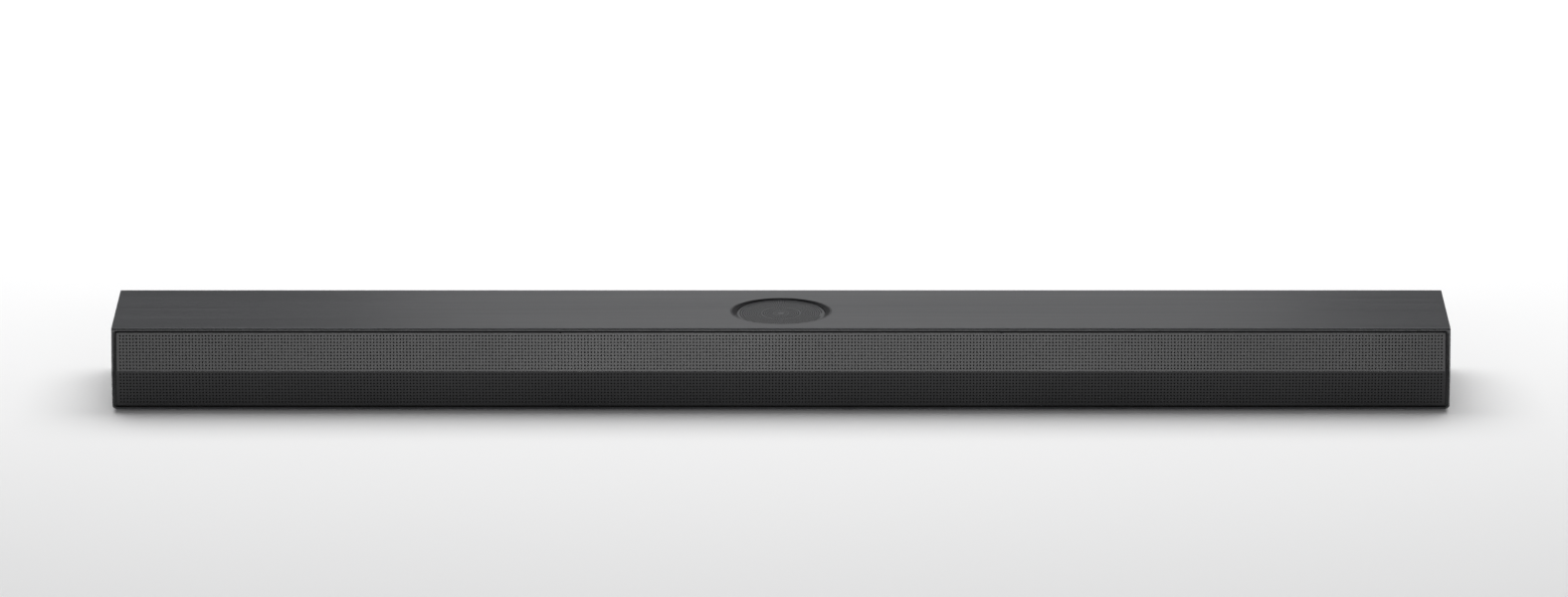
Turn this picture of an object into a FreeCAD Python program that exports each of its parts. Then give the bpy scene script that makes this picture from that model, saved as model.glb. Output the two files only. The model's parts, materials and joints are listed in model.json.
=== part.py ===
import FreeCAD, Part
import math
import os

import Sketcher

# Soundbar. Origin at the middle of the footprint on the floor, X along the bar, front towards -Y, +Z up.
doc = FreeCAD.newDocument("soundbar")
sheet = doc.addObject("Spreadsheet::Sheet", "Sheet")

# Driving dimensions, in millimetres and degrees.
driving = {
    # casing
    "case_width": 975,
    "case_depth": 125,
    "case_height": 63,
    "wall": 2.2,
    "seam": 0.4,
    "corner_radius": 2.5,
    "bottom_radius": 3,
    "lid_thickness": 1.6,
    "lid_edge": 0.9,
    "lid_edge_radius": 0.6,
    "slope_depth": 14.5,
    "slope_drop": 5.6,
    # front frame and grille
    "crease_depth": 3.5,
    "crease_height": 31.3,
    "frame_depth": 8,
    "frame_rim": 1.2,
    "frame_lip": 0.7,
    "ledge_depth": 3,
    "ledge_side": 7,
    "ledge_width": 4.8,
    "mouth_gap_side": 1.4,
    "mouth_gap_top": 0.7,
    "grille_sheet": 0.8,
    "grille_inset": 0.5,
    "cloth": 0.4,
    "carrier_rib": 6,
    "carrier_bays": 8,
    "carrier_relief": 2.2,
    "fit_gap": 0.1,
    # front baffle
    "baffle_thickness": 3.9,
    "baffle_gap": 0.4,
    # feet
    "foot_height": 2,
    "foot_diameter": 24,
    "foot_recess": 1,
    "foot_inset_x": 62,
    "foot_inset_y": 24,
    "foot_edge": 0.5,
    # racetrack front drivers
    "woofer_place": 300,
    "woofer_length": 112,
    "woofer_tall": 46,
    "woofer_rim": 5,
    "woofer_roll": 5,
    "woofer_deep": 16,
    "woofer_coil": 10,
    "woofer_motor": 19,
    "woofer_travel": 3,
    "center_length": 84,
    "center_tall": 36,
    "center_rim": 4,
    "center_roll": 4,
    "center_deep": 12,
    "center_coil": 7.5,
    "center_motor": 13,
    "center_travel": 2,
    "flange_thickness": 2,
    "flange_screw_inset": 1.7,
    "flange_screw": 1.2,
    "cone_wall": 0.8,
    "basket_taper": 0.62,
    "basket_shell": 1.2,
    "basket_plate": 1.6,
    "coil_gap": 0.6,
    "motor_plate": 3,
    "motor_yoke": 2.4,
    "former_wall": 0.2,
    "cone_recess": 0.7,
    "surround_lip": 0.7,
    "surround_sheet": 0.5,
    "spider_width": 4.4,
    # tweeters
    "tweeter_place": 205,
    "tweeter_radius": 20,
    "tweeter_plate": 2.5,
    "tweeter_dome": 9.5,
    "tweeter_motor": 13,
    "tweeter_mouth": 1.4,
    "tweeter_cap": 2.2,
    "tweeter_travel": 0.3,
    # round driver that fires through the lid
    "upfire_setback": 48.5,
    "upfire_opening": 74,
    "upfire_disc": 65,
    "upfire_shift": 3.5,
    "upfire_tilt": 2.5,
    "upfire_sink": 2.7,
    "upfire_disc_thickness": 1,
    "upfire_flange": 33,
    "upfire_below": 8.6,
    "upfire_rim": 4,
    "upfire_roll": 5,
    "upfire_deep": 14,
    "upfire_coil": 9,
    "upfire_motor": 17,
    "upfire_travel": 2,
    # sealed boxes behind the left and right drivers
    "box_inner_end": 155,
    "box_outer_end": 452,
    "box_depth": 74,
    "box_wall": 2.4,
    # boards and sockets
    "board_height": 10,
    "board_thickness": 1.6,
    "main_left": 32,
    "main_length": 108,
    "main_deep": 76,
    "power_left": -140,
    "power_length": 104,
    "board_rear_gap": 16,
    "socket_gap": 0.15,
    "panel_thickness": 2,
    "post_inset": 6,
    "socket_deep": 14,
    "inlet_width": 25,
    "inlet_tall": 15,
    "inlet_deep": 22,
    "inlet_mouth_deep": 13,
    "inlet_mouth": 4.1,
    "inlet_pin_place": 4.3,
    "inlet_pin": 1.2,
    "panel_length": 98,
    # fasteners and wall inserts
    "boss_radius": 3.6,
    "screw_radius": 1.5,
    "screw_head": 2.9,
    "screw_gap": 0.1,
    "screw_length": 14,
    "case_screw_end": 19,
    "case_screw_front": 16,
    "case_screw_rear": 9,
    "case_screw_box": 8,
    "boss_seat": 2.6,
    "head_height": 1.8,
    "insert_spacing": 400,
    "insert_height": 44,
    "insert_radius": 3,
    "insert_bore": 2,
    "insert_length": 8,
    # push buttons on the right end
    "button_radius": 4,
    "button_pitch": 14,
    "button_height": 30,
    "button_gap": 0.2,
    "button_travel": 0.6,
    "button_recess": 0.8,
    "button_pad": 1.8,
    "button_collar": 1.2,
    "button_stem": 1.4,
}
for row, (alias, value) in enumerate(driving.items(), start=1):
    sheet.set(f"A{row}", alias)
    sheet.set(f"B{row}", str(value))
    sheet.setAlias(f"B{row}", alias)
doc.recompute()


class Size:
    """A length that carries its number and the spreadsheet formula it comes from."""

    def __init__(self, value, text):
        self.value = value
        self.text = text

    def __add__(self, other):
        other = asSize(other)
        return Size(self.value + other.value, f"({self.text} + {other.text})")

    def __sub__(self, other):
        other = asSize(other)
        return Size(self.value - other.value, f"({self.text} - {other.text})")

    def __mul__(self, other):
        other = asSize(other)
        return Size(self.value * other.value, f"({self.text} * {other.text})")

    def __truediv__(self, other):
        other = asSize(other)
        return Size(self.value / other.value, f"({self.text} / {other.text})")

    def __radd__(self, other):
        return asSize(other) + self

    def __rsub__(self, other):
        return asSize(other) - self

    def __rmul__(self, other):
        return asSize(other) * self

    def __neg__(self):
        return Size(-self.value, f"(0 - {self.text})")


def asSize(number):
    return number if isinstance(number, Size) else Size(float(number), str(number))


def cell(alias):
    return Size(float(driving[alias]), f"Sheet.{alias}")


def tangent(angle):
    return Size(math.tan(math.radians(angle.value)), f"tan({angle.text} * 1 deg)")


# ---------------------------------------------------------------- drawing helpers
# A piece is a PartDesign body. Every extrusion runs between two places along an axis of the body.

roles = {"Z": "XY_Plane", "Y": "XZ_Plane", "X": "YZ_Plane"}


def newPiece(label):
    body = doc.addObject("PartDesign::Body", label)
    body.Label = label
    return body


def newSketch(body, axis, place=None, tilt=None, slide=None):
    """A sketch square to an axis of the body, at a place along it, slid up its plane and then tilted."""
    sketch = body.newObject("Sketcher::SketchObject", f"{body.Label}_sketch")
    plane = [f for f in body.Origin.OriginFeatures if f.Role == roles[axis]][0]
    sketch.AttachmentSupport = [(plane, "")]
    sketch.MapMode = "FlatFace"
    offset = asSize(0 if place is None else place)
    offset = -offset if axis == "Y" else offset
    turn = FreeCAD.Rotation(FreeCAD.Vector(1, 0, 0), tilt.value if tilt else 0)
    up = asSize(0 if slide is None else slide)
    sketch.AttachmentOffset = FreeCAD.Placement(FreeCAD.Vector(0, up.value, offset.value), turn)
    sketch.setExpression("AttachmentOffset.Base.y", up.text)
    sketch.setExpression("AttachmentOffset.Base.z", offset.text)
    if tilt:
        sketch.setExpression("AttachmentOffset.Rotation.Angle", tilt.text)
    return sketch


def pin(sketch, geometry, point, across, up):
    """Ties one point of the geometry to its place in the sketch."""
    for kind, size, axis in (("DistanceX", asSize(across), -2), ("DistanceY", asSize(up), -1)):
        if abs(size.value) < 1e-9:
            sketch.addConstraint(Sketcher.Constraint("PointOnObject", geometry, point, axis))
        else:
            name = sketch.addConstraint(Sketcher.Constraint(kind, -1, 1, geometry, point, size.value))
            sketch.setExpression(f"Constraints[{name}]", size.text)


def drawOutline(sketch, points):
    """A closed outline of straight sides through the points."""
    points = [(asSize(across), asSize(up)) for across, up in points]
    first = sketch.GeometryCount
    corners = [FreeCAD.Vector(across.value, up.value, 0) for across, up in points]
    for start, end in zip(corners, corners[1:] + corners[:1]):
        sketch.addGeometry(Part.LineSegment(start, end))
    for side in range(len(points)):
        following = first + (side + 1) % len(points)
        sketch.addConstraint(Sketcher.Constraint("Coincident", first + side, 2, following, 1))
    for side, (across, up) in enumerate(points):
        pin(sketch, first + side, 1, across, up)


def drawBox(sketch, left, low, right, top):
    drawOutline(sketch, [(left, low), (right, low), (right, top), (left, top)])


def drawCircle(sketch, across, up, radius):
    centre = FreeCAD.Vector(asSize(across).value, asSize(up).value, 0)
    circle = sketch.addGeometry(Part.Circle(centre, FreeCAD.Vector(0, 0, 1), radius.value))
    pin(sketch, circle, 3, across, up)
    name = sketch.addConstraint(Sketcher.Constraint("Radius", circle, radius.value))
    sketch.setExpression(f"Constraints[{name}]", radius.text)


def drawRacetrack(sketch, half, radius, across=0, up=0):
    """A racetrack about a middle point: half is from there to the centre of an end."""
    across, up = asSize(across), asSize(up)
    if half is None:
        drawCircle(sketch, across, up, radius)
        return
    ends = []
    for side, start in ((1, -math.pi / 2), (-1, math.pi / 2)):
        centre = FreeCAD.Vector(across.value + side * half.value, up.value, 0)
        circle = Part.Circle(centre, FreeCAD.Vector(0, 0, 1), radius.value)
        ends.append(sketch.addGeometry(Part.ArcOfCircle(circle, start, start + math.pi)))
    right, left = ends
    for begin, finish in ((right, left), (left, right)):
        side = sketch.addGeometry(Part.LineSegment(
            sketch.Geometry[begin].EndPoint, sketch.Geometry[finish].StartPoint))
        sketch.addConstraint(Sketcher.Constraint("Tangent", begin, 2, side, 1))
        sketch.addConstraint(Sketcher.Constraint("Tangent", side, 2, finish, 1))
    pin(sketch, right, 3, across + half, up)
    pin(sketch, left, 3, across - half, up)
    name = sketch.addConstraint(Sketcher.Constraint("Radius", right, radius.value))
    sketch.setExpression(f"Constraints[{name}]", radius.text)


def drawRoundBox(sketch, left, low, right, top, radius):
    """A box with round corners, drawn from its four sides and four quarter arcs."""
    left, low, right, top = (asSize(v) for v in (left, low, right, top))
    r = radius.value
    centres = [(right - radius, top - radius), (left + radius, top - radius)]
    centres += [(left + radius, low + radius), (right - radius, low + radius)]
    arcs = []
    for turn, (across, up) in enumerate(centres):
        circle = Part.Circle(FreeCAD.Vector(across.value, up.value, 0), FreeCAD.Vector(0, 0, 1), r)
        start = turn * math.pi / 2
        arcs.append(sketch.addGeometry(Part.ArcOfCircle(circle, start, start + math.pi / 2)))
    for turn, arc in enumerate(arcs):
        after = arcs[(turn + 1) % 4]
        begin = sketch.Geometry[arc].EndPoint
        finish = sketch.Geometry[after].StartPoint
        side = sketch.addGeometry(Part.LineSegment(begin, finish))
        sketch.addConstraint(Sketcher.Constraint("Tangent", arc, 2, side, 1))
        sketch.addConstraint(Sketcher.Constraint("Tangent", side, 2, after, 1))
    for arc, (across, up) in zip(arcs[::2], centres[::2]):
        pin(sketch, arc, 3, across, up)
    for arc in arcs[:3]:
        name = sketch.addConstraint(Sketcher.Constraint("Radius", arc, r))
        sketch.setExpression(f"Constraints[{name}]", radius.text)


def extrude(body, kind, axis, low, high, draw):
    """Extrudes what draw(sketch) draws from low to high along the axis, as a Pad or a Pocket."""
    low, high = asSize(low), asSize(high)
    start = high if axis == "Y" else low
    sketch = newSketch(body, axis, start)
    draw(sketch)
    feature = body.newObject(kind, f"{body.Label}_{kind.split('::')[1].lower()}")
    feature.Profile = sketch
    feature.Length = (high - low).value
    feature.setExpression("Length", (high - low).text)
    feature.Reversed = kind == "PartDesign::Pocket"
    before = body.Shape.Volume if kind == "PartDesign::Pocket" else 0
    doc.recompute()
    if kind == "PartDesign::Pocket" and before - feature.Shape.Volume < 1e-6:
        raise RuntimeError(f"{feature.Name} removes nothing from {body.Label}")
    return feature


def add(body, axis, low, high, draw):
    return extrude(body, "PartDesign::Pad", axis, low, high, draw)


def cut(body, axis, low, high, draw):
    return extrude(body, "PartDesign::Pocket", axis, low, high, draw)


def turned(body, points):
    """A full turn about the body's Z axis of an outline given as (radius, height) points."""
    sketch = newSketch(body, "Y")
    drawOutline(sketch, points)
    feature = body.newObject("PartDesign::Revolution", f"{body.Label}_turned")
    feature.Profile = sketch
    feature.ReferenceAxis = (sketch, ["V_Axis"])
    feature.Angle = 360
    doc.recompute()
    return feature


def lofted(body, kind, sketches):
    feature = body.newObject(kind, f"{body.Label}_loft")
    feature.Profile = sketches[0]
    feature.Sections = sketches[1:]
    doc.recompute()
    return feature


def roundEdges(body, radius, wanted):
    """Fillets the edges of the body's last shape that wanted(edge) picks."""
    base = body.Tip
    names = [f"Edge{n}" for n, edge in enumerate(base.Shape.Edges, start=1) if wanted(edge)]
    if not names:
        raise RuntimeError(f"no edges to round on {body.Label}")
    fillet = body.newObject("PartDesign::Fillet", f"{body.Label}_fillet")
    fillet.Base = (base, names)
    fillet.Radius = radius.value
    fillet.setExpression("Radius", radius.text)
    doc.recompute()
    return fillet


def runsAlong(edge, axis):
    """True for a straight edge along X, Y or Z."""
    start, end = (v.Point for v in edge.Vertexes) if len(edge.Vertexes) == 2 else (None, None)
    if start is None:
        return False
    run = end - start
    others = [abs(run[i]) for i in range(3) if i != "XYZ".index(axis)]
    return max(others) < 1e-6 and abs(run["XYZ".index(axis)]) > 1e-6


def at(edge, axis, place):
    """True where the whole edge lies at this place on the axis."""
    return all(abs(v.Point["XYZ".index(axis)] - place.value) < 1e-4 for v in edge.Vertexes)


def stand(body, x=0, y=0, z=0, tilt=None):
    """Puts a piece in place, turned by tilt degrees about the bar's length."""
    x, y, z = asSize(x), asSize(y), asSize(z)
    angle = asSize(0 if tilt is None else tilt)
    turn = FreeCAD.Rotation(FreeCAD.Vector(1, 0, 0), angle.value)
    body.Placement = FreeCAD.Placement(FreeCAD.Vector(x.value, y.value, z.value), turn)
    for name, size in (("x", x), ("y", y), ("z", z)):
        body.setExpression(f"Placement.Base.{name}", size.text)
    if angle.value:
        body.setExpression("Placement.Rotation.Angle", angle.text)


# ---------------------------------------------------------------- shared places
halfWidth = cell("case_width") / 2
rearY = cell("case_depth") / 2
creaseY = -rearY
frontY = creaseY + cell("crease_depth")
frameBackY = frontY + cell("frame_depth")
baseZ = cell("foot_height")
topZ = cell("case_height")
slopeZ = topZ - cell("slope_drop")
slopeY = rearY - cell("slope_depth")
creaseZ = cell("crease_height")
lipTopZ = topZ - cell("lid_edge") - cell("seam")
tubTopZ = slopeZ - cell("seam")
floorZ = baseZ + cell("wall")
tubFrontY = frameBackY + cell("seam")
innerRearY = rearY - cell("wall")
innerX = halfWidth - cell("wall")
lidUnderZ = topZ - cell("lid_thickness")
mouthX = halfWidth - cell("frame_rim")
mouthLowZ = baseZ + cell("frame_rim")
mouthTopZ = lipTopZ - cell("frame_lip")
ledgeY = frameBackY - cell("ledge_depth")
grilleX = mouthX - cell("mouth_gap_side")
grilleTopZ = mouthTopZ - cell("mouth_gap_top")
grilleLowZ = mouthLowZ + cell("mouth_gap_top")
baffleFrontY = frameBackY + cell("fit_gap")
baffleBackY = baffleFrontY + cell("baffle_thickness")
bossPlaces = [(side * x, y) for side in (-1, 1) for x, y in (
    (halfWidth - cell("case_screw_end"), tubFrontY + cell("case_screw_front")),
    (halfWidth - cell("case_screw_end"), innerRearY - cell("case_screw_rear")),
    (cell("box_inner_end") - cell("case_screw_box"), tubFrontY + cell("case_screw_front")),
    (cell("box_inner_end") - cell("case_screw_box"), innerRearY - cell("case_screw_rear")))]
seatTopZ = floorZ + cell("boss_seat")
insertX = cell("insert_spacing") / 2
upfireY = frontY + cell("upfire_setback")
discY = upfireY + cell("upfire_shift")
discZ = topZ - cell("upfire_sink")
boardRearY = rearY - cell("board_rear_gap")
boardTopZ = cell("board_height") + cell("board_thickness")
panelBackY = innerRearY - cell("fit_gap") - cell("panel_thickness")
buttonPlaces = {
    "button_power": 1.5,
    "button_volume_up": 0.5,
    "button_volume_down": -0.5,
    "button_source": -1.5,
}
buttonFaceX = halfWidth - cell("button_recess")
footPlaces = [(sx * (halfWidth - cell("foot_inset_x")), sy * (rearY - cell("foot_inset_y")))
              for sx in (-1, 1) for sy in (-1, 1)]


def creased(inset, backY, lowZ, highZ):
    """Side outline of a front piece: the two facets that meet at the crease, set in by inset."""
    slopeUp = cell("crease_depth") / (lipTopZ - creaseZ)
    slopeDown = cell("crease_depth") / (creaseZ - baseZ)
    front = creaseY + inset
    return [
        (backY, lowZ),
        (front + slopeDown * (creaseZ - lowZ), lowZ),
        (front, creaseZ),
        (front + slopeUp * (highZ - creaseZ), highZ),
        (backY, highZ),
    ]


# ---------------------------------------------------------------- casing
def makeBottomCase():
    body = newPiece("bottom_case")
    add(body, "Z", baseZ, tubTopZ, lambda s: drawBox(s, -halfWidth, tubFrontY, halfWidth, rearY))
    roundEdges(body, cell("corner_radius"), lambda e: runsAlong(e, "Z") and at(e, "Y", rearY))
    roundEdges(body, cell("bottom_radius"), lambda e: at(e, "Z", baseZ) and not at(e, "Y", tubFrontY))
    cut(body, "Z", floorZ, tubTopZ, lambda s: drawBox(s, -innerX, tubFrontY, innerX, innerRearY))
    # thicker pad behind the buttons, bosses, board posts
    padIn = innerX - cell("button_pad")
    padHalf = cell("button_pitch") * 2 + 3
    padUp = cell("button_radius") + 4
    add(body, "X", padIn, innerX + 0.5, lambda s: drawBox(
        s, -padHalf, cell("button_height") - padUp, padHalf, cell("button_height") + padUp))
    cut(body, "X", buttonFaceX, halfWidth, lambda s: drawRoundBox(
        s, -padHalf + 2, cell("button_height") - padUp + 2, padHalf - 2, cell("button_height") + padUp - 2,
        cell("button_radius")))

    def insertBosses(s):
        for side in (-1, 1):
            drawCircle(s, side * insertX, cell("insert_height"), cell("insert_radius") + 2)

    add(body, "Y", innerRearY - cell("insert_length") + 1, innerRearY + 0.5, insertBosses)

    def boardPosts(s):
        for x, y in boardPostPlaces():
            drawCircle(s, x, y, cell("boss_radius"))

    add(body, "Z", floorZ - 0.5, cell("board_height"), boardPosts)

    def screwSeats(s):
        for x, y in bossPlaces:
            drawCircle(s, x, y, cell("boss_radius") + 1.6)

    add(body, "Z", floorZ - 0.5, seatTopZ, screwSeats)

    def screwHoles(s):
        for x, y in bossPlaces:
            drawCircle(s, x, y, cell("screw_radius") + cell("screw_gap"))

    def screwSinks(s):
        for x, y in bossPlaces:
            drawCircle(s, x, y, cell("screw_head") + 2 * cell("screw_gap"))

    cut(body, "Z", baseZ, seatTopZ, screwHoles)
    cut(body, "Z", baseZ, floorZ, screwSinks)

    def postHoles(s):
        for x, y in boardPostPlaces():
            drawCircle(s, x, y, cell("screw_radius") + cell("screw_gap"))

    cut(body, "Z", floorZ, cell("board_height"), postHoles)

    def insertHoles(s):
        for side in (-1, 1):
            drawCircle(s, side * insertX, cell("insert_height"), cell("insert_radius"))

    cut(body, "Y", rearY - cell("insert_length"), rearY, insertHoles)

    def buttonHoles(s):
        for step in buttonPlaces.values():
            drawCircle(s, step * cell("button_pitch"), cell("button_height"),
                       cell("button_radius") + cell("button_gap"))

    cut(body, "X", padIn, halfWidth, buttonHoles)

    def footSeats(s):
        for x, y in footPlaces:
            drawCircle(s, x, y, cell("foot_diameter") / 2 + 2 * cell("fit_gap"))

    cut(body, "Z", baseZ, baseZ + cell("foot_recess"), footSeats)
    # rear openings: one for the connector panel, one for the mains inlet
    left, right = panelEnds()
    cut(body, "Y", innerRearY, rearY, lambda s: drawRoundBox(
        s, left + 4, boardTopZ - 4, right - 4, boardTopZ + 14, cell("corner_radius")))
    x, low, wide, tall = inletPlace()
    gap = cell("socket_gap")
    cut(body, "Y", innerRearY, rearY, lambda s: drawBox(
        s, x - wide / 2 - gap, low - gap, x + wide / 2 + gap, low + tall + gap))
    # vent slots beside the mains inlet
    slotPitch, slotLength = 6, 20

    def vents(s):
        for n in range(6):
            x0 = cell("power_left") - 4 + n * slotPitch
            drawBox(s, x0, boardTopZ + 20, x0 + slotPitch / 2, boardTopZ + 20 + slotLength)

    cut(body, "Y", innerRearY, rearY, vents)
    return body


def makeTopCover():
    body = newPiece("top_cover")
    profile = [
        (frontY, topZ - cell("lid_edge")), (tubFrontY, topZ - cell("lid_edge")), (tubFrontY, slopeZ),
        (rearY, slopeZ), (slopeY, topZ), (frontY, topZ)]
    add(body, "X", -halfWidth, halfWidth, lambda s: drawOutline(s, profile))
    roundEdges(body, cell("lid_edge_radius"), lambda e: runsAlong(e, "X") and at(e, "Z", topZ)
               and at(e, "Y", frontY))
    slant = cell("slope_drop") / cell("slope_depth")
    innerSlopeY = slopeY + cell("wall") / 4 - 1
    hollow = [
        (tubFrontY - 1, slopeZ - 5), (tubFrontY - 1, lidUnderZ), (innerSlopeY, lidUnderZ),
        (innerRearY, lidUnderZ - slant * (innerRearY - innerSlopeY)), (innerRearY, slopeZ - 5)]
    cut(body, "X", -innerX, innerX, lambda s: drawOutline(s, hollow))

    def bosses(s):
        for x, y in bossPlaces:
            drawCircle(s, x, y, cell("boss_radius"))

    bossLowZ = seatTopZ + cell("fit_gap")
    add(body, "Z", bossLowZ, lidUnderZ + 0.3, bosses)

    def pilots(s):
        for x, y in bossPlaces:
            drawCircle(s, x, y, cell("screw_radius") + cell("screw_gap"))

    cut(body, "Z", bossLowZ, bossLowZ + cell("screw_length"), pilots)
    cut(body, "Z", lidUnderZ, topZ, lambda s: drawCircle(s, 0, upfireY, cell("upfire_opening") / 2))
    return body


def makeFrontFrame():
    body = newPiece("front_frame")
    outline = creased(asSize(0), frameBackY, baseZ, lipTopZ)
    add(body, "X", -halfWidth, halfWidth, lambda s: drawOutline(s, outline))
    roundEdges(body, cell("bottom_radius"), lambda e: runsAlong(e, "Y") and at(e, "Z", baseZ))
    corner = cell("bottom_radius") - cell("frame_rim") + 0.4
    cut(body, "Y", creaseY, ledgeY, lambda s: drawRoundBox(s, -mouthX, mouthLowZ, mouthX, mouthTopZ, corner))
    side, level = cell("ledge_side"), cell("ledge_width")
    cut(body, "Y", ledgeY, frameBackY, lambda s: drawBox(
        s, side - mouthX, mouthLowZ + level, mouthX - side, mouthTopZ - level))
    return body


def makeFrontGrille():
    """Creased sheet with its four edges folded back. The perforation isn't cut here."""
    body = newPiece("front_grille")
    inset = cell("grille_inset")
    backY = ledgeY - cell("fit_gap") - 1.5
    outer = creased(inset, backY, grilleLowZ, grilleTopZ)
    add(body, "X", -grilleX, grilleX, lambda s: drawOutline(s, outer))
    sheetThick = cell("grille_sheet")
    inner = creased(inset + sheetThick, backY + 1, grilleLowZ + sheetThick, grilleTopZ - sheetThick)
    cut(body, "X", sheetThick - grilleX, grilleX - sheetThick, lambda s: drawOutline(s, inner))
    return body


def makeGrilleCloth():
    """Sound-open cloth stretched over the carrier, right behind the perforated sheet."""
    body = newPiece("grille_cloth")
    inset = cell("grille_inset") + cell("grille_sheet") + cell("fit_gap")
    edge = cell("grille_sheet") + 2 * cell("fit_gap")
    low, high = grilleLowZ + edge, grilleTopZ - edge
    front = creased(inset, ledgeY, low, high)[1:4]
    back = creased(inset + cell("cloth"), ledgeY, low, high)[1:4]
    add(body, "X", edge - grilleX, grilleX - edge, lambda s: drawOutline(s, front + back[::-1]))
    return body


def makeGrilleCarrier():
    """Ribbed plastic frame that holds the sheet and cloth against the ledge."""
    body = newPiece("grille_carrier")
    inset = cell("grille_inset") + cell("grille_sheet") + cell("cloth") + 2 * cell("fit_gap")
    edge = cell("grille_sheet") + 3 * cell("fit_gap")
    low, high = grilleLowZ + edge, grilleTopZ - edge
    backY = ledgeY - cell("fit_gap")
    halfLong = grilleX - edge
    add(body, "X", -halfLong, halfLong, lambda s: drawOutline(s, creased(inset, backY, low, high)))
    rib = cell("carrier_rib")
    count = int(driving["carrier_bays"])
    bay = 2 * halfLong / count

    def bays(s):
        for n in range(count):
            left = n * bay - halfLong
            drawBox(s, left + rib / 2, low + rib, left + bay - rib / 2, high - rib)

    cut(body, "Y", creaseY, backY, bays)
    # the ribs stand back from the drivers
    cut(body, "Y", backY - cell("carrier_relief"), backY, lambda s: drawBox(
        s, rib - halfLong, low + rib, halfLong - rib, high - rib))
    return body


def makeFrontBaffle():
    body = newPiece("front_baffle")
    gap = cell("baffle_gap")
    add(body, "Y", baffleFrontY, baffleBackY, lambda s: drawBox(
        s, gap - innerX, floorZ + gap, innerX - gap, lidUnderZ - gap))

    def driverHoles(s):
        for name, along in frontDrivers:
            half, radius = racetrackOf(name, "rim")
            drawRacetrack(s, half, radius, along, driverZ)

    cut(body, "Y", baffleFrontY, baffleBackY, driverHoles)
    notch = cell("upfire_opening") * 0.22
    cut(body, "Y", baffleFrontY, baffleBackY, lambda s: drawBox(
        s, -notch, lidUnderZ - 2, notch, lidUnderZ - gap))
    reach = cell("tweeter_motor") + 1

    def tweeterHoles(s):
        for side in (-1, 1):
            drawCircle(s, side * cell("tweeter_place"), driverZ, reach)

    cut(body, "Y", baffleFrontY, baffleBackY, tweeterHoles)

    def screwHoles(s):
        for x, z in driverScrewPlaces():
            drawCircle(s, x, z, cell("flange_screw") + cell("screw_gap"))

    cut(body, "Y", baffleFrontY, baffleBackY, screwHoles)
    return body


def makeFeet():
    body = newPiece("rubber_feet")

    def pads(s):
        for x, y in footPlaces:
            drawCircle(s, x, y, cell("foot_diameter") / 2)

    add(body, "Z", 0, baseZ + cell("foot_recess"), pads)
    roundEdges(body, cell("foot_edge"), lambda e: len(e.Vertexes) == 1 and at(e, "Z", asSize(0)))
    return body


def makeInserts():
    """Threaded brass inserts for a wall bracket."""
    body = newPiece("wall_inserts")

    def rings(s):
        for side in (-1, 1):
            drawCircle(s, side * insertX, cell("insert_height"), cell("insert_radius"))
            drawCircle(s, side * insertX, cell("insert_height"), cell("insert_bore"))

    add(body, "Y", rearY - cell("insert_length"), rearY, rings)
    return body


# ---------------------------------------------------------------- loudspeaker drivers
# A driver is drawn with its flange's front face at height 0, firing along +Z.
driverZ = creaseZ
frontDrivers = [
    ("left_woofer", -cell("woofer_place")),
    ("center_woofer", asSize(0)),
    ("right_woofer", cell("woofer_place")),
]
driverFrontY = baffleFrontY - cell("flange_thickness")


def driverSizes(name):
    """The named sizes of one driver: the three kinds share every function below."""
    kind = "upfire" if name == "upfire" else name.split("_")[0].replace("left", "woofer").replace("right", "woofer")
    own = {key: cell(f"{kind}_{key}") for key in ("rim", "roll", "deep", "coil", "motor", "travel")}
    if kind == "upfire":
        own["half"], own["radius"] = None, cell("upfire_flange")
    else:
        own["radius"] = cell(f"{kind}_tall") / 2
        own["half"] = (cell(f"{kind}_length") - cell(f"{kind}_tall")) / 2
    return own


def racetrackOf(name, *steps):
    """Half length and radius of the flange's racetrack, drawn in by the named steps."""
    own = driverSizes(name)
    radius = own["radius"]
    for step in steps:
        radius = radius - own[step]
    return own["half"], radius


def place(body, name, along):
    """Front drivers face -Y; the upward one leans with the round grille."""
    if name == "upfire":
        tilt = cell("upfire_tilt")
        below = cell("upfire_below")
        stand(body, 0, discY + below * tangent(tilt), discZ - below, tilt)
    else:
        stand(body, along, driverFrontY, driverZ, asSize(90))


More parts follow.
